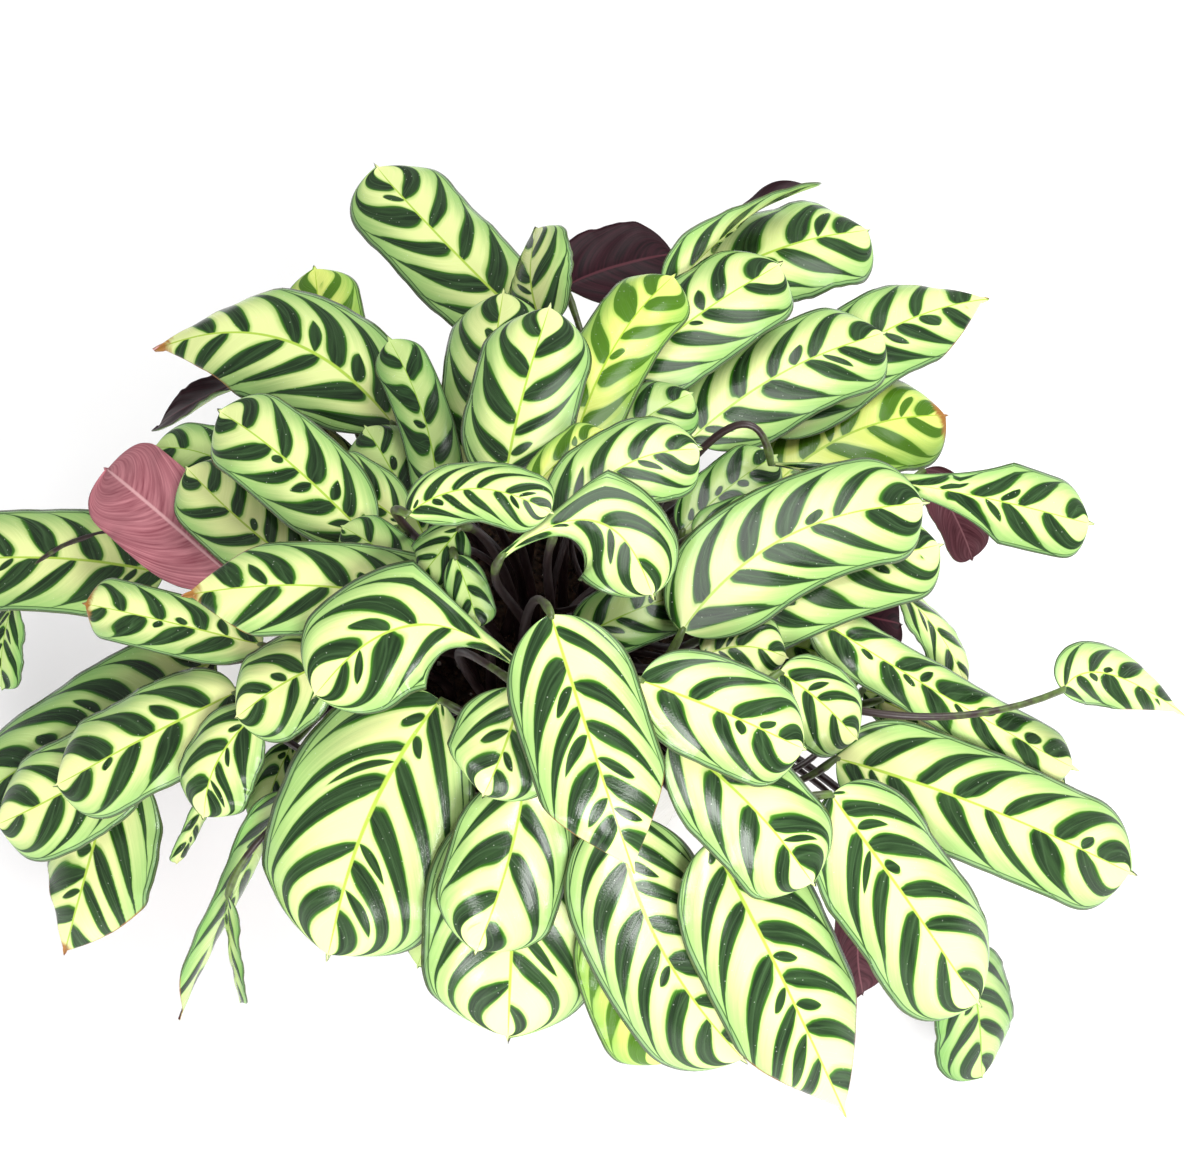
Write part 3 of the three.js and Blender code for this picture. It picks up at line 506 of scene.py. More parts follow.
def bezier(corners, shares):
    share = np.asarray(shares, dtype=float)[:, None]
    rest = 1 - share
    a, b, c, d = corners
    return rest ** 3 * a + 3 * rest ** 2 * share * b + 3 * rest * share ** 2 * c + share ** 3 * d


def route_places(corners):
    """Places close together along the straight stretches between a stalk's stations."""
    stations = bezier(corners, STALK_STATIONS)
    shares = np.arange(1, ROUTE_STEPS + 1)[:, None] / ROUTE_STEPS
    stretches = [start + (end - start) * shares for start, end in zip(stations, stations[1:])]
    return np.concatenate([stations[:1]] + stretches)


def blocked_steps(points, family):
    """How many of the places touch the pot's wall or a leaf outside the family."""
    reach = np.hypot(points[:, 0], points[:, 1])
    over_wall = (reach > POT_RIM_RADIUS - POT_WALL - RIM_CLEARANCE) & (reach < POT_RIM_RADIUS + RIM_CLEARANCE)
    at_wall = over_wall & (points[:, 2] < POT_HEIGHT + RIM_CLEARANCE)
    cubes = zip(cubes_of(points).tolist(), at_wall)
    return sum(bool(wall or filled.get(tuple(cube), family) - family) for cube, wall in cubes)


def stalk_corners(leaf, lean, low_lean, reach, drop):
    """The four corners of a stalk's curve: foot, bend, knee and top."""
    top = rib_points(leaf, START)[0]
    along, side, _ = (vectors[0] for vectors in rib_frames(leaf, START))
    if leaf.grows_from:
        foot = bezier(leaf_named[leaf.grows_from].route, [YOUNG_STALK_START])[0]
    else:
        foot = np.array((*leaf.foot, SOIL_TOP + STALK_STRAIGHT))
    span = math.hypot(top[0] - foot[0], top[1] - foot[1])
    knee = top - along * reach * span + side * lean
    knee[2] = max(knee[2] - drop, POT_HEIGHT + ARCH_OVER_RIM)
    bend = foot + side * lean * low_lean
    bend[2] = foot[2] + max(FIRST_RISE, BEND_SHARE * (top[2] - foot[2]))
    return foot, bend, knee, top


def find_route(leaf):
    """The first of the clearest curves, by drop, reach, low lean and lean in that order."""
    family = {leaf.name, leaf.grows_from}
    least = math.inf
    for choice in ((lean, low, reach, drop) for drop in DROPS for reach in REACHES
                   for low in LOW_LEANS for lean in LEANS):
        corners = stalk_corners(leaf, *choice)
        steps = blocked_steps(route_places(corners), family)
        if steps < least:
            least = steps
            leaf.route = corners
        if least == 0:
            return


for leaf in leaves:
    fill(blade_samples(leaf), leaf.name)
for leaf in rooted + [each for each in leaves if each.grows_from]:
    find_route(leaf)
    fill(route_places(leaf.route), leaf.name)


# The blade's upper skin. A prayer plant's leaf is thin and firm, with a waxed skin. Its pale ground
# carries dark bars that follow the side veins from the midrib towards the margin.

# The points of each blade hold three sets of values: where a spot lies (share of the way along,
# place across the full half width, the leaf's number), where it lies among the bars (place in bar
# pitches, number of bars, share of the way to the edge) and the leaf's tone (how much painted
# shade, how olive, how dry). On the underside, dry means faded.
STORED = {
    "blade": ("along", "across", "number"),
    "veins": ("pitch", "bars", "rim"),
    "tone": ("deep", "olive", "dry"),
}
OTHER_SIDE_SHIFT = 0.4
STREAK_SCALE = 1.6
BAR_STREAKS = 5.0
FINE_RIDGES = 16.0
STRAW_GROUND = "#EFF6A8"
GREEN_GROUND = "#9CC472"
MARGIN_GREEN = "#769B62"
LINE_GREEN = "#254A20"
BAR_HALO = ("#84BA38", "#86AC66")
BAR_CORE = ("#1A2E16", "#38552F")
BAR_FRINGE = ("#3C7812", "#38562C")
BAR_VEIN = "#56774C"
YOUNG_BAR = "#5C8A26"
RIB_GREEN = "#B5D250"
SHADED_TINT = "#9CC2A4"
OLIVE_TINT = "#F8FBC4"
DRY_EDGE = ("#4A5230", "#A06E34")
SPECK_WHITE = "#DDE8D2"
# The long bars: how far they wander, in pitches; the reach, breadth and place of each, given as
# what a random number adds and the least; and how they taper from the midrib out
BAR_WANDER = 0.7
WANDER_SCALE = 0.9
BAR_REACH = (0.1, 0.91)
BAR_BREADTH = (0.32, 0.84)
BAR_MIDDLE = (0.1, 0.45)
BAR_HALF = 0.25
BAR_TAPER = (
    (0.0, 0.22), (0.07, 0.62), (0.2, 0.92), (0.42, 1.0), (0.68, 0.8), (0.83, 0.38), (0.92, 0.15), (1.0, 0.05),
)
# The short ovals: reach in the same way, roundness, breadth and what is cut off it, and how many
# are left out
OVAL_REACH = (0.35, 0.2)
OVAL_ROUNDING = 0.6
OVAL_BREADTH = (0.432, -0.06)
OVALS_LEFT_OUT = 0.6
OVAL_STEEPNESS = 2.0
OVAL_DRAWS = 4.0
LEAST = 0.0001
TIP_CLEARANCE = 0.3
TIP_FADE = 0.4
EDGE_FRAY = 0.035
# The dark lines along the margin: place out and strength
MARGIN_LINES = ((0.91, 0.85), (0.965, 0.95))
STREAKS_IN_GREEN = 0.3
STREAKS_IN_TIP = 0.06
SHADE_SHARE = 0.6
YOUNG_SHARE = 0.7
RIB_WIDTH = (-0.02, 0.032)
# Soft edges: where each starts and ends, and the two strengths where they aren't 0 and 1
BAR_EDGE = (-0.018, 0.018)
HALO_EDGE = (-0.1, 0.0, 0.0, 0.6)
HEART_EDGE = (0.0, 0.075)
VEIN_EDGE = (0.0, 0.03, 0.3, 0.0)
GREEN_EDGE = (0.4, 1.1)
MARGIN_EDGE = (0.88, 0.96)
LINE_EDGE = (0.004, 0.014)
CORE_EDGE = (0.35, 0.75)
FRINGE_EDGE = (0.6, 0.9)
RIB_EDGE = (0.6, 1.2, 1.0, 0.0)
RIM_EDGE = (0.96, 0.985, 0.0, 0.85)
TIP_EDGE = (0.98, 1.015)
WEDGE_EDGE = (0.85, 0.95, 1.0, 0.0)
SPECK_EDGE = (0.03, 0.1, 0.5, 0.0)
GLOSS = (0.35, 0.65, 0.1, 0.3)
SPECK_SPACING = 2.63
SKIN_CELL = 0.625
SKIN_RELIEF = 0.2
# A colour Mix node's sockets by place, and its settings; the setting of a soft edge
SHARE, UNDER, OVER = 0, 6, 7
COLOURS = {"data_type": "RGBA", "out": 2}
SMOOTH = {"interpolation_type": "SMOOTHSTEP"}


def place_on_blade(add):
    """The values that both skins start from, by name."""
    spot = {}
    for name, parts in STORED.items():
        stored = add("Attribute", out="Vector", attribute_name=name)
        spot.update(zip(parts, add("SeparateXYZ", stored).node.outputs))
    spot["outward"] = add("Math ABSOLUTE", spot["across"])
    side = add("Math GREATER_THAN", spot["across"], 0.0)
    spot["pitch"] = add("Math MULTIPLY_ADD", side, OTHER_SIDE_SHIFT, spot["pitch"])
    number = add("Math ROUND", spot["number"])
    spot["family"] = add("Math MULTIPLY_ADD", number, 2.0, side)
    return spot


def add_streaks(add, spot, fineness, detail=3.0):
    """Noise drawn out along the side veins, fineness streaks to a bar's pitch."""
    across_veins = add("Math MULTIPLY", spot["pitch"], fineness)
    place = add("CombineXYZ", across_veins, spot["outward"], spot["family"])
    return add("TexNoise", {"Vector": place, "Scale": STREAK_SCALE, "Detail": detail})


def draw_bar(add, pitch, family, salt):
    """The place within a bar's own pitch, and three random numbers for that bar."""
    number = add("Math FLOOR", pitch)
    within = add("Math FRACT", pitch)
    place = add("CombineXYZ", number, family, salt)
    draw = add("TexWhiteNoise", {"Vector": place}, out="Color")
    return within, add("SeparateXYZ", draw).node.outputs


def depth_in_bars(add, spot, streaks):
    """How far inside a dark bar a spot lies, in pitches, and how far off the long bar's middle."""
    place = add("CombineXYZ", spot["pitch"], spot["outward"], spot["family"])
    wander = add("TexNoise", {"Vector": place, "Scale": WANDER_SCALE, "Detail": 1.0})
    left = add("Math SUBTRACT", spot["bars"], spot["pitch"])
    pitch = add("Math MULTIPLY_ADD", wander, -BAR_WANDER, left)
    pitch = add("Math SUBTRACT", -BAR_WANDER / 2, pitch)

    # One long bar to each pitch, with its own reach, breadth and place
    within, draws = draw_bar(add, pitch, spot["family"], 0.0)
    reach = add("Math MULTIPLY_ADD", draws[0], *BAR_REACH)
    share = add("Math DIVIDE", spot["outward"], reach)
    taper = add("FloatCurve", {"Value": share})
    points = taper.node.mapping.curves[0].points
    points[0].location = BAR_TAPER[0]
    for point in BAR_TAPER[1:-1]:
        points.new(*point)
    points[-1].location = BAR_TAPER[-1]
    breadth = add("Math MULTIPLY_ADD", draws[1], *BAR_BREADTH)
    half = add("Math MULTIPLY", breadth, taper)
    half = add("Math MULTIPLY_ADD", half, BAR_HALF, LEAST)
    middle = add("Math MULTIPLY_ADD", draws[2], *BAR_MIDDLE)
    off = add("Math SUBTRACT", within, middle)
    off = add("Math ABSOLUTE", off)
    depth = add("Math SUBTRACT", half, off)

    # Short ovals near the midrib, between some of the long bars
    between = add("Math ADD", pitch, 0.5)
    within, draws = draw_bar(add, between, spot["family"], OVAL_DRAWS)
    reach = add("Math MULTIPLY_ADD", draws[0], *OVAL_REACH)
    share = add("Math DIVIDE", spot["outward"], reach)
    rest = add("Math SUBTRACT", 1.0, share)
    left_out = add("Math LESS_THAN", draws[1], OVALS_LEFT_OUT)
    oval_off = add("Math SUBTRACT", within, 0.5)
    oval_off = add("Math ABSOLUTE", oval_off)
    oval = share
    for operation, *others in (
        ("MULTIPLY", rest), ("MAXIMUM", LEAST), ("POWER", OVAL_ROUNDING), ("MULTIPLY_ADD", *OVAL_BREADTH),
        ("SUBTRACT", left_out), ("SUBTRACT", oval_off), ("MULTIPLY", OVAL_STEEPNESS), ("MAXIMUM", depth),
    ):
        oval = add("Math " + operation, oval, *others)

    # No bar past the last vein at the tip, and faintly frayed edges
    last = add("MapRange", left, 0.0, TIP_CLEARANCE, TIP_FADE, 0.0)
    depth = add("Math SUBTRACT", oval, last)
    depth = add("Math MULTIPLY_ADD", streaks, EDGE_FRAY, depth)
    return add("Math SUBTRACT", depth, EDGE_FRAY / 2), off


def pale_ground(add, spot, depth, streaks):
    """Straw yellow by the midrib, green at the margin and round the bars, with two dark lines."""
    outward = spot["outward"]
    green_place = add("Math MULTIPLY_ADD", streaks, STREAKS_IN_GREEN, outward)
    green = add("MapRange", green_place, *GREEN_EDGE, **SMOOTH)
    halo = add("MapRange", depth, *HALO_EDGE)
    inner, outer = (linear(colour) for colour in BAR_HALO)
    halo_green = add("Mix", {SHARE: outward, UNDER: inner, OVER: outer}, **COLOURS)
    margin = add("MapRange", outward, *MARGIN_EDGE, **SMOOTH)
    layers = [(green, linear(GREEN_GROUND)), (halo, halo_green), (margin, linear(MARGIN_GREEN))]
    for place, strength in MARGIN_LINES:
        line = add("Math SUBTRACT", outward, place)
        line = add("Math ABSOLUTE", line)
        line = add("MapRange", line, *LINE_EDGE, strength, 0.0)
        layers.append((line, linear(LINE_GREEN)))
    colour = linear(STRAW_GROUND)
    for share, over in layers:
        colour = add("Mix", {SHARE: share, UNDER: colour, OVER: over}, **COLOURS)
    return colour


def dark_bars(add, spot, depth, off, streaks):
    """A bright green fringe round a dark streaked core, with a paler vein; greener where young."""
    streaked = add("MapRange", streaks, *CORE_EDGE)
    outer = add("MapRange", spot["outward"], *FRINGE_EDGE, **SMOOTH)
    core, colour = (
        add("Mix", {SHARE: share, UNDER: linear(first), OVER: linear(second)}, **COLOURS)
        for share, (first, second) in ((streaked, BAR_CORE), (outer, BAR_FRINGE))
    )
    heart = add("MapRange", depth, *HEART_EDGE, **SMOOTH)
    vein = add("MapRange", off, *VEIN_EDGE)
    young = add("Math MULTIPLY", spot["olive"], YOUNG_SHARE)
    for share, over in ((heart, core), (vein, linear(BAR_VEIN)), (young, linear(YOUNG_BAR))):
        colour = add("Mix", {SHARE: share, UNDER: colour, OVER: over}, **COLOURS)
    return colour


def dry_edge(add, spot, streaks):
    """How brown the skin is: a thin line at the very edge, wider where the tip has dried."""
    edge = add("MapRange", spot["rim"], *RIM_EDGE)
    tip = add("Math MULTIPLY_ADD", streaks, STREAKS_IN_TIP, spot["along"])
    tip = add("MapRange", tip, *TIP_EDGE, **SMOOTH)
    tip = add("Math MULTIPLY", tip, spot["dry"])
    edge = add("Math MAXIMUM", edge, tip)
    wedge_end = add("MapRange", spot["outward"], *WEDGE_EDGE)
    green, brown = (linear(colour) for colour in DRY_EDGE)
    return edge, add("Mix", {SHARE: wedge_end, UNDER: green, OVER: brown}, **COLOURS)


def waxed_leaf_skin(add):
    """Waxed leaf skin: pale ground, dark bars with bright green edges, and a soft sheen."""
    spot = place_on_blade(add)
    streaks = add_streaks(add, spot, BAR_STREAKS)
    depth, off = depth_in_bars(add, spot, streaks)
    bar = add("MapRange", depth, *BAR_EDGE, **SMOOTH)
    rib_width = add("Math MULTIPLY_ADD", spot["along"], *RIB_WIDTH)
    rib = add("Math DIVIDE", spot["outward"], rib_width)
    rib = add("MapRange", rib, *RIB_EDGE)
    # Painted shade: a darker, greener tint on shaded leaves and on leaves toward the back of the crown
    deep = add("Math MULTIPLY", spot["deep"], SHADE_SHARE)
    skin_place = add("TexCoord", out="Object")
    specks = add("TexVoronoi", {"Vector": skin_place, "Scale": 1 / (SPECK_SPACING * MM)})
    specks = add("MapRange", specks, *SPECK_EDGE)

    # The bars and the midrib, the painted shade tint and the olive tint, the edge, and dried water
    colour = pale_ground(add, spot, depth, streaks)
    for share, over, blend in (
        (bar, dark_bars(add, spot, depth, off, streaks), "MIX"),
        (rib, linear(RIB_GREEN), "MIX"),
        (deep, linear(SHADED_TINT), "MULTIPLY"),
        (spot["olive"], linear(OLIVE_TINT), "MULTIPLY"),
        (*dry_edge(add, spot, streaks), "MIX"),
        (specks, linear(SPECK_WHITE), "MIX"),
    ):
        colour = add("Mix", {SHARE: share, UNDER: colour, OVER: over}, blend_type=blend, **COLOURS)

    # Fine ridges along the side veins, and a skin of small cells
    ridges = add_streaks(add, spot, FINE_RIDGES)
    cells = add("TexVoronoi", {"Vector": skin_place, "Scale": 1 / (SKIN_CELL * MM)})
    relief = add("Math MULTIPLY_ADD", ridges, 2.0, cells)
    relief = add("Bump", {"Strength": 0.12, "Distance": SKIN_RELIEF * MM, "Height": relief})
    gloss = add("MapRange", ridges, *GLOSS)
    return add("BsdfPrincipled", {
        "Base Color": colour, "Roughness": gloss, "IOR": 1.38, "Normal": relief,
    })


# The blade's underside and the stalk. The underside is the same leaf without wax, wine red and
# dull; on the faded leaf it has turned mauve. The stalk is smooth and firm, brown-purple at its
# foot and green under the blade.
WINE = ("#17060C", "#3A1822")
MAUVE = ("#8A4B55", "#C4838A")
UNDER_RIB = ("#5E2F38", "#E0AEB0")
UNDER_STREAKS = (7.0, 4.0)
UNDER_STREAK_EDGE = (0.3, 0.72)
UNDER_RIB_EDGE = (0.015, 0.045, 0.8, 0.0)
STALK_BROWN = "#30201F"
STALK_GREEN = "#5F7A36"
STALK_BLOTCH = 3.85
GREEN_FROM = (1.05, 1.35)


def maroon_underside(add):
    """The underside: matt wine red or faded mauve, finely streaked, with a paler midrib."""
    spot = place_on_blade(add)
    streaks = add_streaks(add, spot, *UNDER_STREAKS)
    fine = add("MapRange", streaks, *UNDER_STREAK_EDGE)
    wine, mauve, rib_colour = (
        add("Mix", {SHARE: share, UNDER: linear(first), OVER: linear(second)}, **COLOURS)
        for share, (first, second) in ((fine, WINE), (fine, MAUVE), (spot["dry"], UNDER_RIB))
    )
    rib = add("MapRange", spot["outward"], *UNDER_RIB_EDGE)
    colour = add("Mix", {SHARE: spot["dry"], UNDER: wine, OVER: mauve}, **COLOURS)
    colour = add("Mix", {SHARE: rib, UNDER: colour, OVER: rib_colour}, **COLOURS)
    relief = add("Bump", {"Strength": 0.3, "Distance": SKIN_RELIEF * MM, "Height": streaks})
    return add("BsdfPrincipled", {
        "Base Color": colour, "Roughness": 0.5, "IOR": 1.24, "Normal": relief,
    })


def stalk_skin(add):
    """Smooth stalk skin: dark brown-purple with soft blotches, turning green under the blade."""
    blade = add("Attribute", out="Vector", attribute_name="blade")
    along = add("SeparateXYZ", blade)
    place = add("TexCoord", out="Object")
    blotch = add("TexNoise", {"Vector": place, "Scale": 1 / (STALK_BLOTCH * MM), "Detail": 3.0})
    green = add("Math MULTIPLY_ADD", blotch, 0.5, along)
    green = add("MapRange", green, *GREEN_FROM, **SMOOTH)
    colour = {SHARE: green, UNDER: linear(STALK_BROWN), OVER: linear(STALK_GREEN)}
    colour = add("Mix", colour, **COLOURS)
    relief = add("Bump", {"Strength": 0.2, "Distance": SKIN_RELIEF * MM, "Height": blotch})
    return add("BsdfPrincipled", {"Base Color": colour, "Roughness": 0.4, "Normal": relief})


# The leaves. Each grows as one piece: a slim stalk with a swollen joint under the blade, and the
# blade with its midrib ridge below, gently pleated along its side veins, with a waved margin and a
# tiny point. A few small leaves share a stalk with a larger one.
STEPS_ALONG = 60
STEPS_ACROSS = 26
BLADE_SKIN = 0.32
MARGIN_SKIN = 0.16
RIDGE_DEPTH = 0.55
RIDGE_SHARE = 0.05
PLEAT = 0.28
# How far the side veins sweep forward, in half widths, and with which powers of the way out
VEIN_SWEEP = ((0.8, 1), (0.95, 3), (0.4, 8))
# The margin's small waves: times the leaf's own waves, plus this many, shift, slant and height
RIPPLES = ((1, 3.3, 1.7, 2, 1), (2, 5.1, 0.6, -1, 0.6))
RIPPLE_SHARE = 0.008
POINT_STEPS = (0.4, 1)
STALK_FOOT_RADIUS = 2.0
STALK_TOP_RADIUS = 1.15
STALK_SIDES = 12
STALK_RINGS = 34
SOIL_CONTACT = 6
JOINT_RADIUS = 1.55
JOINT_FROM_TOP = 5
JOINT_LENGTH = 4
STALK_IN_BLADE = 1.5
STALK_END_SHARE = 0.6
# Each kind's slot, how much painted shade it gets and how olive it is; leaves toward the back get painted
# shade too
KINDS = {
    "bright": ("leaf_striped", 0, 0), "deep": ("leaf_shaded", 1, 0),
    "olive": ("leaf_olive", 0.3, 1), "maroon": ("leaf_maroon", 0.3, 0),
}
MOST_BACK_SHADE = 0.3
BACK_SHADE_START = 0.05
FEWEST_BARS = 1.8
BARS_PER_MM = 0.031
BAR_COUNTS = {
    "front_low": 3.1, "front_upper": 2.4, "left_inner": 2.6, "front_left_pointing": 2.9,
    "left_lower": 3.6, "middle_left": 4.0, "middle_right": 3.6, "front_right": 3.8,
    "back_right_far": 3.6, "middle_right_low": 2.9, "front_right_glossy": 6.2, "right_lower": 6.2,
    "back_left_far": 5.4, "back_right_long": 5.3, "left_wedge": 5.3, "middle_top": 5.3,
    "left_narrow": 4.1, "front_bright": 4.9,
}
FADED_LEAVES = {"left_mauve": 1.0, "right_back_under": 0.18, "right_front_under": 0.1, "front_left_tiny": 0.2}
DRY_TIPS = ("left_narrow", "left_wedge", "back_left_far", "front_left_low", "right_back_yellow")

leaf_materials = (
    new_material("waxed_leaf_skin", waxed_leaf_skin),
    new_material("maroon_leaf_underside", maroon_underside),
    new_material("leaf_stalk_skin", stalk_skin),
)
TOP, UNDERSIDE, STALK = range(3)


class Shell:
    """Points, faces and stored values of one piece while it is being put together."""

    def __init__(self):
        self.points, self.faces, self.slots = [], [], []
        self.stored = {name: [] for name in STORED}
        self.count = 0

    def add_points(self, points, **values):
        start = self.count
        self.count += len(points)
        self.points.append(points)
        for name, value in values.items():
            self.stored[name].append(np.broadcast_to(value, (len(points), 3)))
        return start

    def add_faces(self, faces, slot):
        self.faces.extend(faces)
        self.slots.extend([slot] * len(faces))

    def to_object(self, name):
        mesh = bpy.data.meshes.new(name)
        mesh.from_pydata((np.concatenate(self.points) * MM).tolist(), [], self.faces)
        for label, values in self.stored.items():
            layer = mesh.attributes.new(label, "FLOAT_VECTOR", "POINT")
            layer.data.foreach_set("vector", np.concatenate(values).astype(np.float32).ravel())
        for material in leaf_materials:
            mesh.materials.append(material)
        mesh.polygons.foreach_set("material_index", self.slots)
        mesh.polygons.foreach_set("use_smooth", [True] * len(self.faces))
        mesh.update()
        piece = bpy.data.objects.new(name, mesh)
        bpy.context.collection.objects.link(piece)
        return piece


def add_tube(shell, points, radii, side, shares, tone):
    """A round closed tube through the points, ring by ring."""
    ring = 2 * np.pi * np.arange(STALK_SIDES) / STALK_SIDES
    normal = side
    starts = []
    for point, radius, tangent, share in zip(points, radii, unit(np.gradient(points, axis=0)), shares):
        normal = unit(normal - tangent * (normal @ tangent))
        second = np.cross(tangent, normal)
        places = point + radius * (np.cos(ring)[:, None] * normal + np.sin(ring)[:, None] * second)
        starts.append(shell.add_points(places, blade=(share, 0, 0), veins=0, tone=tone))
    faces = []
    for low, high in zip(starts, starts[1:]):
        for k in range(STALK_SIDES):
            following = (k + 1) % STALK_SIDES
            faces.append((low + k, low + following, high + following, high + k))
    faces.append(tuple(starts[0] + k for k in reversed(range(STALK_SIDES))))
    faces.append(tuple(starts[-1] + k for k in range(STALK_SIDES)))
    shell.add_faces(faces, STALK)


def add_stalk(shell, leaf, tone):
    """The leaf's stalk along its route, from inside the soil or the larger stalk into the blade."""
    shares = np.linspace(0, 1, STALK_RINGS)
    points = bezier(leaf.route, shares)
    along, side, _ = (vectors[0] for vectors in rib_frames(leaf, START))
    foot_radius = STALK_TOP_RADIUS if leaf.grows_from else STALK_FOOT_RADIUS
    radii = mix((foot_radius, STALK_TOP_RADIUS), shares)
    length = np.concatenate(((0,), np.cumsum(np.linalg.norm(np.diff(points, axis=0), axis=1))))
    from_joint = length[-1] - length - JOINT_FROM_TOP
    radii = radii + (JOINT_RADIUS - STALK_TOP_RADIUS) * np.exp(-(from_joint / JOINT_LENGTH) ** 2)
    if not leaf.grows_from:
        root = points[0] - np.array((0, 0, SOIL_CONTACT))
        points = np.concatenate((root[None], points))
        radii = np.concatenate((radii[:1], radii))
        shares = np.concatenate((shares[:1], shares))
    points = np.concatenate((points, points[-1:] + along * STALK_IN_BLADE))
    radii = np.concatenate((radii, [STALK_TOP_RADIUS * STALK_END_SHARE]))
    shares = np.concatenate((shares, [1.0]))
    add_tube(shell, points, radii, side, shares, tone)


def vein_place(leaf, t, x):
    """Place along the blade in bar pitches, measured back along the side veins to the midrib."""
    half = np.where(t > 0.5, leaf.width / 2, half_width(leaf, t))
    advance = half * sum(share * x ** power for share, power in VEIN_SWEEP)
    return (t - advance / leaf.length) * leaf.bars


def add_blade(shell, leaf, tone):
    """The leaf's blade: a pleated upper and lower face, and the rim between them."""
    steps = (1 - np.cos(np.pi * np.arange(STEPS_ALONG + 1) / STEPS_ALONG)) / 2
    t = np.concatenate((steps, 1 + POINT_LENGTH * np.array(POINT_STEPS)))
    s = 2 * np.arange(STEPS_ACROSS + 1) / STEPS_ACROSS - 1
    tt, ss = np.meshgrid(t, s, indexing="ij")
    x = np.abs(ss)
    full = np.where((tt > 0.5) & (leaf.end == "wedge"), half_width(leaf, tt) / (leaf.width / 2), 1)
    pitches = vein_place(leaf, tt, x * full)

    # The pleats fade out at the midrib, the margin and both ends
    body = np.clip(4 * x * (1 - x), 0, 1) * np.clip(12 * tt * (1 - tt), 0, 1)
    pleats = PLEAT * body * np.cos(2 * np.pi * pitches + leaf.phase)
    ripple = RIPPLE_SHARE * leaf.width * x ** 5 * sum(
        height * np.sin(2 * np.pi * (times * leaf.waves + more) * tt + shift * leaf.phase + slant * ss)
        for times, more, shift, slant, height in RIPPLES
    ) * np.clip(8 * tt * (1 - tt), 0, 1)
    thickness = mix((BLADE_SKIN, MARGIN_SKIN), x ** 4)
    ridge = RIDGE_DEPTH * np.exp(-(ss / RIDGE_SHARE) ** 2) * np.clip(1 - tt, 0, 1)
    stored = {
        "blade": np.stack((tt, ss * full, np.full_like(tt, leaf.index)), axis=-1).reshape(-1, 3),
        "veins": np.stack((pitches, np.full_like(tt, leaf.bars), x), axis=-1).reshape(-1, 3),
        "tone": tone,
    }
    top, under = (
        shell.add_points(blade_points(leaf, t, s, skin, pleats + ripple).reshape(-1, 3), **stored)
        for skin in (thickness, -(thickness + ridge))
    )

    # The two faces, then the rim that joins them
    row, rows = len(s), len(t)
    cells = [
        (a, a + 1, a + row + 1, a + row)
        for i in range(rows - 1) for a in range(i * row, i * row + STEPS_ACROSS)
    ]
    shell.add_faces([(top + a, top + b, top + c, top + d) for a, b, c, d in cells], TOP)
    shell.add_faces([(under + a, under + d, under + c, under + b) for a, b, c, d in cells], UNDERSIDE)
    border = [i * row + STEPS_ACROSS for i in range(rows)]
    border += [(rows - 1) * row + j for j in reversed(range(STEPS_ACROSS))]
    border += [i * row for i in reversed(range(rows - 1))]
    border += list(range(1, STEPS_ACROSS))
    rim = [(top + a, under + a, under + b, top + b) for a, b in zip(border, border[1:] + border[:1])]
    shell.add_faces(rim, TOP)


def tone_of(leaf):
    """How much painted shade a leaf gets, and how olive and how dry or faded it is."""
    _, deep, olive = KINDS[leaf.kind]
    # Leaves toward the back of the crown get painted shade, more the farther back, up to a limit
    deep = max(deep, min(MOST_BACK_SHADE, BACK_SHADE_START + (CROWN_CENTRE[1] - leaf.middle[1]) / CROWN_CENTRE[1]))
    dry = 1 if leaf.name in DRY_TIPS else FADED_LEAVES.get(leaf.name, 0)
    return deep, olive, dry


for leaf in leaves:
    leaf.length = float(np.linalg.norm(rib_points(leaf, START + 1) - rib_points(leaf, START)))
    leaf.bars = BAR_COUNTS.get(leaf.name, FEWEST_BARS + BARS_PER_MM * leaf.length)
for leaf in rooted:
    shell = Shell()
    for grown in [leaf] + [young for young in leaves if young.grows_from == leaf.name]:
        add_blade(shell, grown, tone_of(grown))
        add_stalk(shell, grown, tone_of(grown))
    piece = shell.to_object("striped_leaf_" + leaf.name)
    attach(piece, "root")
    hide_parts("leaf_" + leaf.name)


# The potting soil. Dark peat with bark and a little white perlite, poured round the stalks and
# settled by watering, a little lower at the pot's wall.
POT_FOOT_RADIUS = 57
POT_FLOOR = 6
POT_FLARE = 0.85
SOIL_RIM_TOP = 108
SEAT_GAP = 0.3
SOIL_WALL_HEIGHTS = (POT_FLOOR + SEAT_GAP, 32, 64, 96)
SOIL_RINGS = 44
SOIL_SPOKES = 150
SOIL_RELIEF = 1.6
# Two sizes of lumps: how many times finer than a lump, and their height
SOIL_LUMP = 7.0
LUMPS = ((1, 1), (2.7, 0.5))
LUMPS_FADE = 4
GRAINS = 900
GRAIN_RADIUS = (0.7, 2.1)
GRAIN_SQUASH = ((0.6, 1.5), (0.5, 1), (0.4, 0.9))
GRAIN_SHOWING = 0.3
GRAIN_ROUGHNESS = 0.12
PERLITE_SHARE = 0.07
PEAT_BROWN = ("#1D140F", "#59412E")
PERLITE_WHITE = "#D9D4C8"
CRUMB_WIDTH = 2.38
CLOD_WIDTH = 3.03
FIBRE_EDGE = (0.35, 0.7)


def pot_radius(height):
    return POT_FOOT_RADIUS + (POT_RIM_RADIUS - POT_FOOT_RADIUS) * (height / POT_HEIGHT) ** POT_FLARE


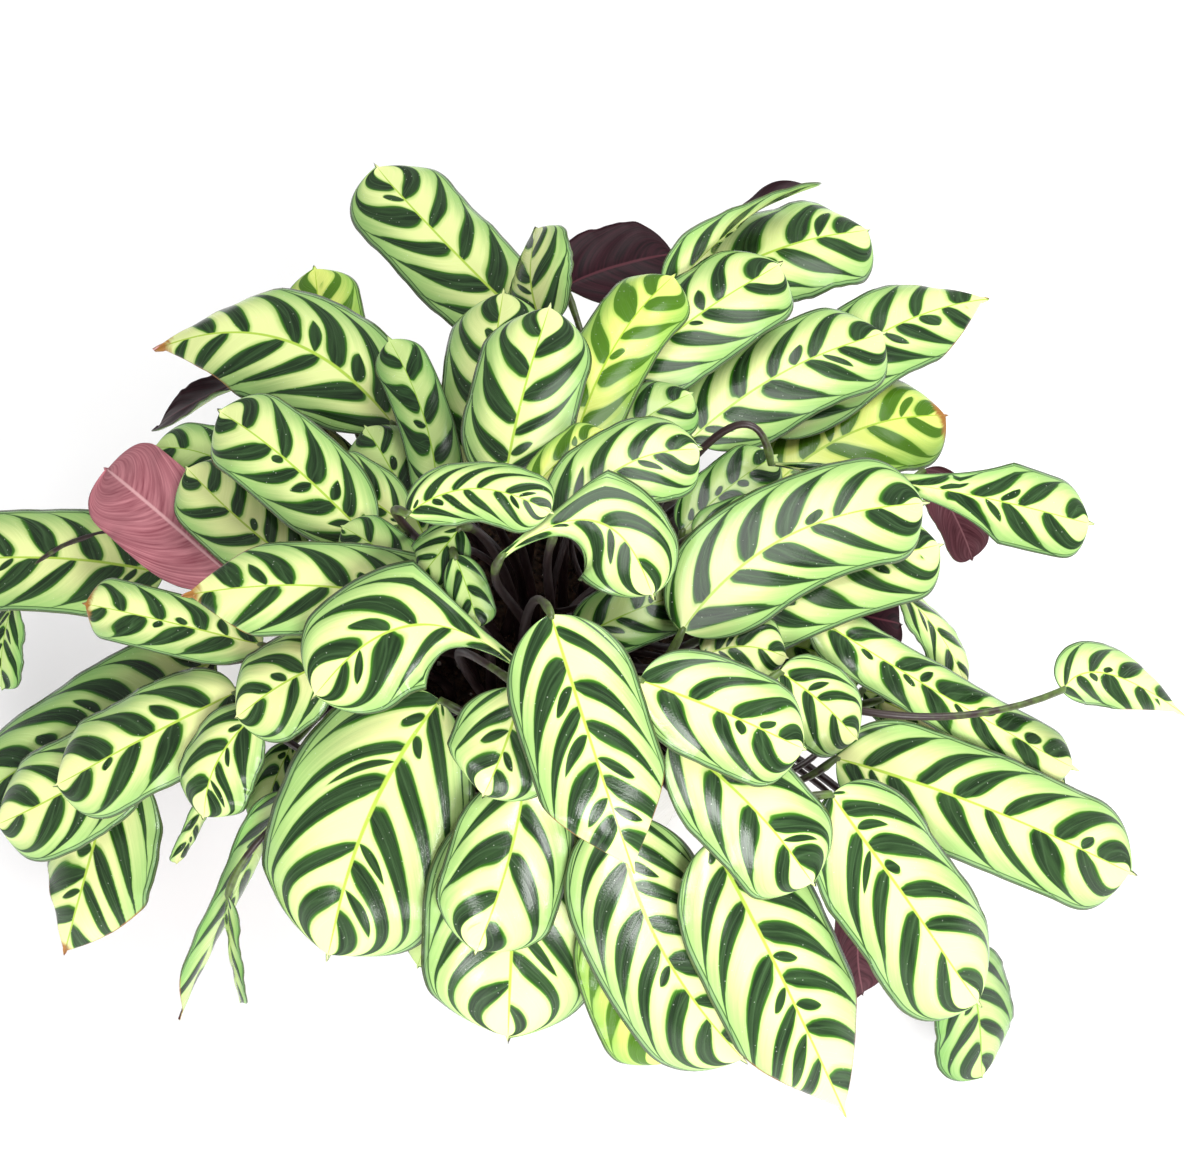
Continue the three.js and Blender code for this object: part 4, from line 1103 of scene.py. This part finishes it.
def lathe(profile, steps, relief=None):
    """A closed round body from (radius, height) pairs that start and end on the axis."""
    work = bmesh.new()
    rings = []
    for radius, height in profile:
        ring = []
        for k in range(steps if radius else 1):
            angle = 2 * math.pi * k / steps
            place = Vector((radius * math.cos(angle), radius * math.sin(angle), height))
            if relief:
                place.z += relief(place)
            ring.append(work.verts.new(place * MM))
        rings.append(ring)
    for low, high in zip(rings, rings[1:]):
        for k in range(steps):
            a, b = low[k % len(low)], low[(k + 1) % steps % len(low)]
            c, d = high[(k + 1) % steps % len(high)], high[k % len(high)]
            corners = list(dict.fromkeys((a, b, c, d)))
            if len(corners) > 2:
                work.faces.new(corners)
    bmesh.ops.recalc_face_normals(work, faces=work.faces)
    return work


def finish_mesh(work, name, material):
    for face in work.faces:
        face.smooth = True
    mesh = bpy.data.meshes.new(name)
    work.to_mesh(mesh)
    work.free()
    mesh.materials.append(material)
    piece = bpy.data.objects.new(name, mesh)
    bpy.context.collection.objects.link(piece)
    return piece


def soil_relief(place):
    """Lumps on the soil's surface, none at the wall or below."""
    if place.z < SOIL_RIM_TOP - 1:
        return 0
    reach = math.hypot(place.x, place.y)
    inside = min(1, max(0, (pot_radius(place.z) - POT_WALL - 1 - reach) / LUMPS_FADE))
    lumps = sum(height * noise.noise(place / SOIL_LUMP * finer) for finer, height in LUMPS)
    return SOIL_RELIEF * inside * lumps


def damp_peat(add):
    """Damp peat: near-black brown crumbs with paler fibres and a dull, broken surface."""
    place = add("TexCoord", out="Object")
    crumbs = add("TexNoise", {"Vector": place, "Scale": 1 / (CRUMB_WIDTH * MM), "Detail": 5.0})
    clods = add("TexVoronoi", {"Vector": place, "Scale": 1 / (CLOD_WIDTH * MM)})
    white = add("Attribute", out="Fac", attribute_name="perlite")
    brown = add("MapRange", crumbs, *FIBRE_EDGE)
    colour = linear(PEAT_BROWN[0])
    for share, over in ((brown, PEAT_BROWN[1]), (white, PERLITE_WHITE)):
        colour = add("Mix", {SHARE: share, UNDER: colour, OVER: linear(over)}, **COLOURS)
    height = add("Math ADD", crumbs, clods)
    relief = add("Bump", {"Strength": 0.8, "Distance": 1 * MM, "Height": height})
    return add("BsdfPrincipled", {"Base Color": colour, "Roughness": 0.92, "Normal": relief})


soil_reach = pot_radius(SOIL_RIM_TOP) - POT_WALL - 2 * SEAT_GAP
flat_reach = STALK_AREA_RADIUS + 2 * STALK_FOOT_RADIUS


def soil_height(reach):
    """Height of the soil's surface, flat between the stalks and sloping down to the wall."""
    slope = min(1, max(0, (soil_reach - reach) / (soil_reach - flat_reach)))
    return SOIL_RIM_TOP + (SOIL_TOP - SOIL_RIM_TOP) * slope


soil_profile = [(0, SOIL_WALL_HEIGHTS[0])]
for height in (*SOIL_WALL_HEIGHTS, SOIL_RIM_TOP):
    soil_profile.append((pot_radius(height) - POT_WALL - 2 * SEAT_GAP, height))
for n in range(1, SOIL_RINGS + 1):
    reach = soil_reach * (1 - n / SOIL_RINGS)
    soil_profile.append((reach, soil_height(reach)))
soil_work = lathe(soil_profile, SOIL_SPOKES, soil_relief)
perlite = soil_work.verts.layers.float.new("perlite")

draw = np.random.default_rng(7)
for _ in range(GRAINS):
    angle = draw.uniform(0, 2 * math.pi)
    reach = (soil_reach - 3) * math.sqrt(draw.uniform(0, 1))
    size = draw.uniform(*GRAIN_RADIUS)
    white = draw.uniform() < PERLITE_SHARE
    place = Vector((reach * math.cos(angle), reach * math.sin(angle), soil_height(reach)))
    place.z += soil_relief(place) + size * GRAIN_SHOWING
    squash = Matrix.Diagonal((*(draw.uniform(*span) for span in GRAIN_SQUASH), 1))
    spin = Euler(draw.uniform(0, 2 * math.pi, 3)).to_matrix().to_4x4()
    pose = Matrix.Translation(place * MM) @ spin @ squash
    grain = bmesh.ops.create_icosphere(soil_work, subdivisions=1, radius=size * MM, matrix=pose)
    for vertex in grain["verts"]:
        vertex.co += Vector(draw.normal(0, GRAIN_ROUGHNESS * size * MM, 3))
        vertex[perlite] = 1.0 if white else 0.0
soil = finish_mesh(soil_work, "potting_soil", new_material("damp_peat", damp_peat))
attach(soil, "root")
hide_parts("soil")


# The pot. Thrown earthenware, dipped in white glaze and fired, with a softly rounded lip.
# It tapers to its foot.
POT_STEPS = 144
FOOT_ROUND = 3
FOOT_HOLLOW = ((0, 0.6), (POT_FOOT_RADIUS - 9, 0.6), (POT_FOOT_RADIUS - 7, 0))
LIP_STEPS = 8
WALL_STEPS = 16
THROWING_RINGS = 0.06
RING_SPACING = 6.5
GLAZE_WHITE = ("#F4F2EC", "#E6E3DA")
IRON_BROWN = "#9A8468"
CLOUD_WIDTH = 45.5
IRON_SPECK = 1.11
IRON_EDGE = (0.74, 0.8)
GLAZE_ROUGHNESS = (0.16, 0.26)
GLAZE_RELIEF = 0.5


def white_glaze(add):
    """Fired white glaze: smooth and glossy, with faint cloudiness and a few iron specks."""
    place = add("TexCoord", out="Object")
    cloud = add("TexNoise", {"Vector": place, "Scale": 1 / (CLOUD_WIDTH * MM), "Detail": 3.0})
    specks = add("TexNoise", {"Vector": place, "Scale": 1 / (IRON_SPECK * MM), "Detail": 1.0})
    specks = add("MapRange", specks, *IRON_EDGE)
    colour = linear(GLAZE_WHITE[0])
    for share, over in ((cloud, GLAZE_WHITE[1]), (specks, IRON_BROWN)):
        colour = add("Mix", {SHARE: share, UNDER: colour, OVER: linear(over)}, **COLOURS)
    gloss = add("MapRange", cloud, 0.0, 1.0, *GLAZE_ROUGHNESS)
    relief = add("Bump", {"Strength": 0.15, "Distance": GLAZE_RELIEF * MM, "Height": cloud})
    return add("BsdfPrincipled", {
        "Base Color": colour, "Roughness": gloss, "IOR": 1.5, "Normal": relief,
    })


def wall_radius(height):
    """Outer radius, with the faint rings that the potter's fingers leave."""
    return pot_radius(height) + THROWING_RINGS * math.sin(2 * math.pi * height / RING_SPACING)


# Up from the hollow under the foot, over the lip and down the inside
foot_reach = POT_FOOT_RADIUS - FOOT_ROUND
pot_profile = [*FOOT_HOLLOW, (foot_reach, 0)]
for n in range(1, LIP_STEPS + 1):
    turned = math.pi / 2 * n / LIP_STEPS
    outward = math.sin(turned) * (pot_radius(FOOT_ROUND) - foot_reach)
    pot_profile.append((foot_reach + outward, FOOT_ROUND * (1 - math.cos(turned))))
lip_middle = POT_HEIGHT - POT_WALL / 2
for n in range(1, 3 * WALL_STEPS + 1):
    height = FOOT_ROUND + (lip_middle - FOOT_ROUND) * n / (3 * WALL_STEPS)
    pot_profile.append((wall_radius(height), height))
for n in range(1, 2 * LIP_STEPS):
    turned = math.pi * n / (2 * LIP_STEPS)
    lip_reach = pot_radius(lip_middle) - POT_WALL / 2 * (1 - math.cos(turned))
    pot_profile.append((lip_reach, lip_middle + POT_WALL / 2 * math.sin(turned)))
for n in range(WALL_STEPS + 1):
    height = lip_middle - (lip_middle - POT_FLOOR) * n / WALL_STEPS
    pot_profile.append((pot_radius(height) - POT_WALL, height))
pot_profile.append((0, POT_FLOOR))
pot = finish_mesh(lathe(pot_profile, POT_STEPS), "glazed_pot", new_material("white_glaze", white_glaze))
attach(pot, "root")
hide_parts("pot")
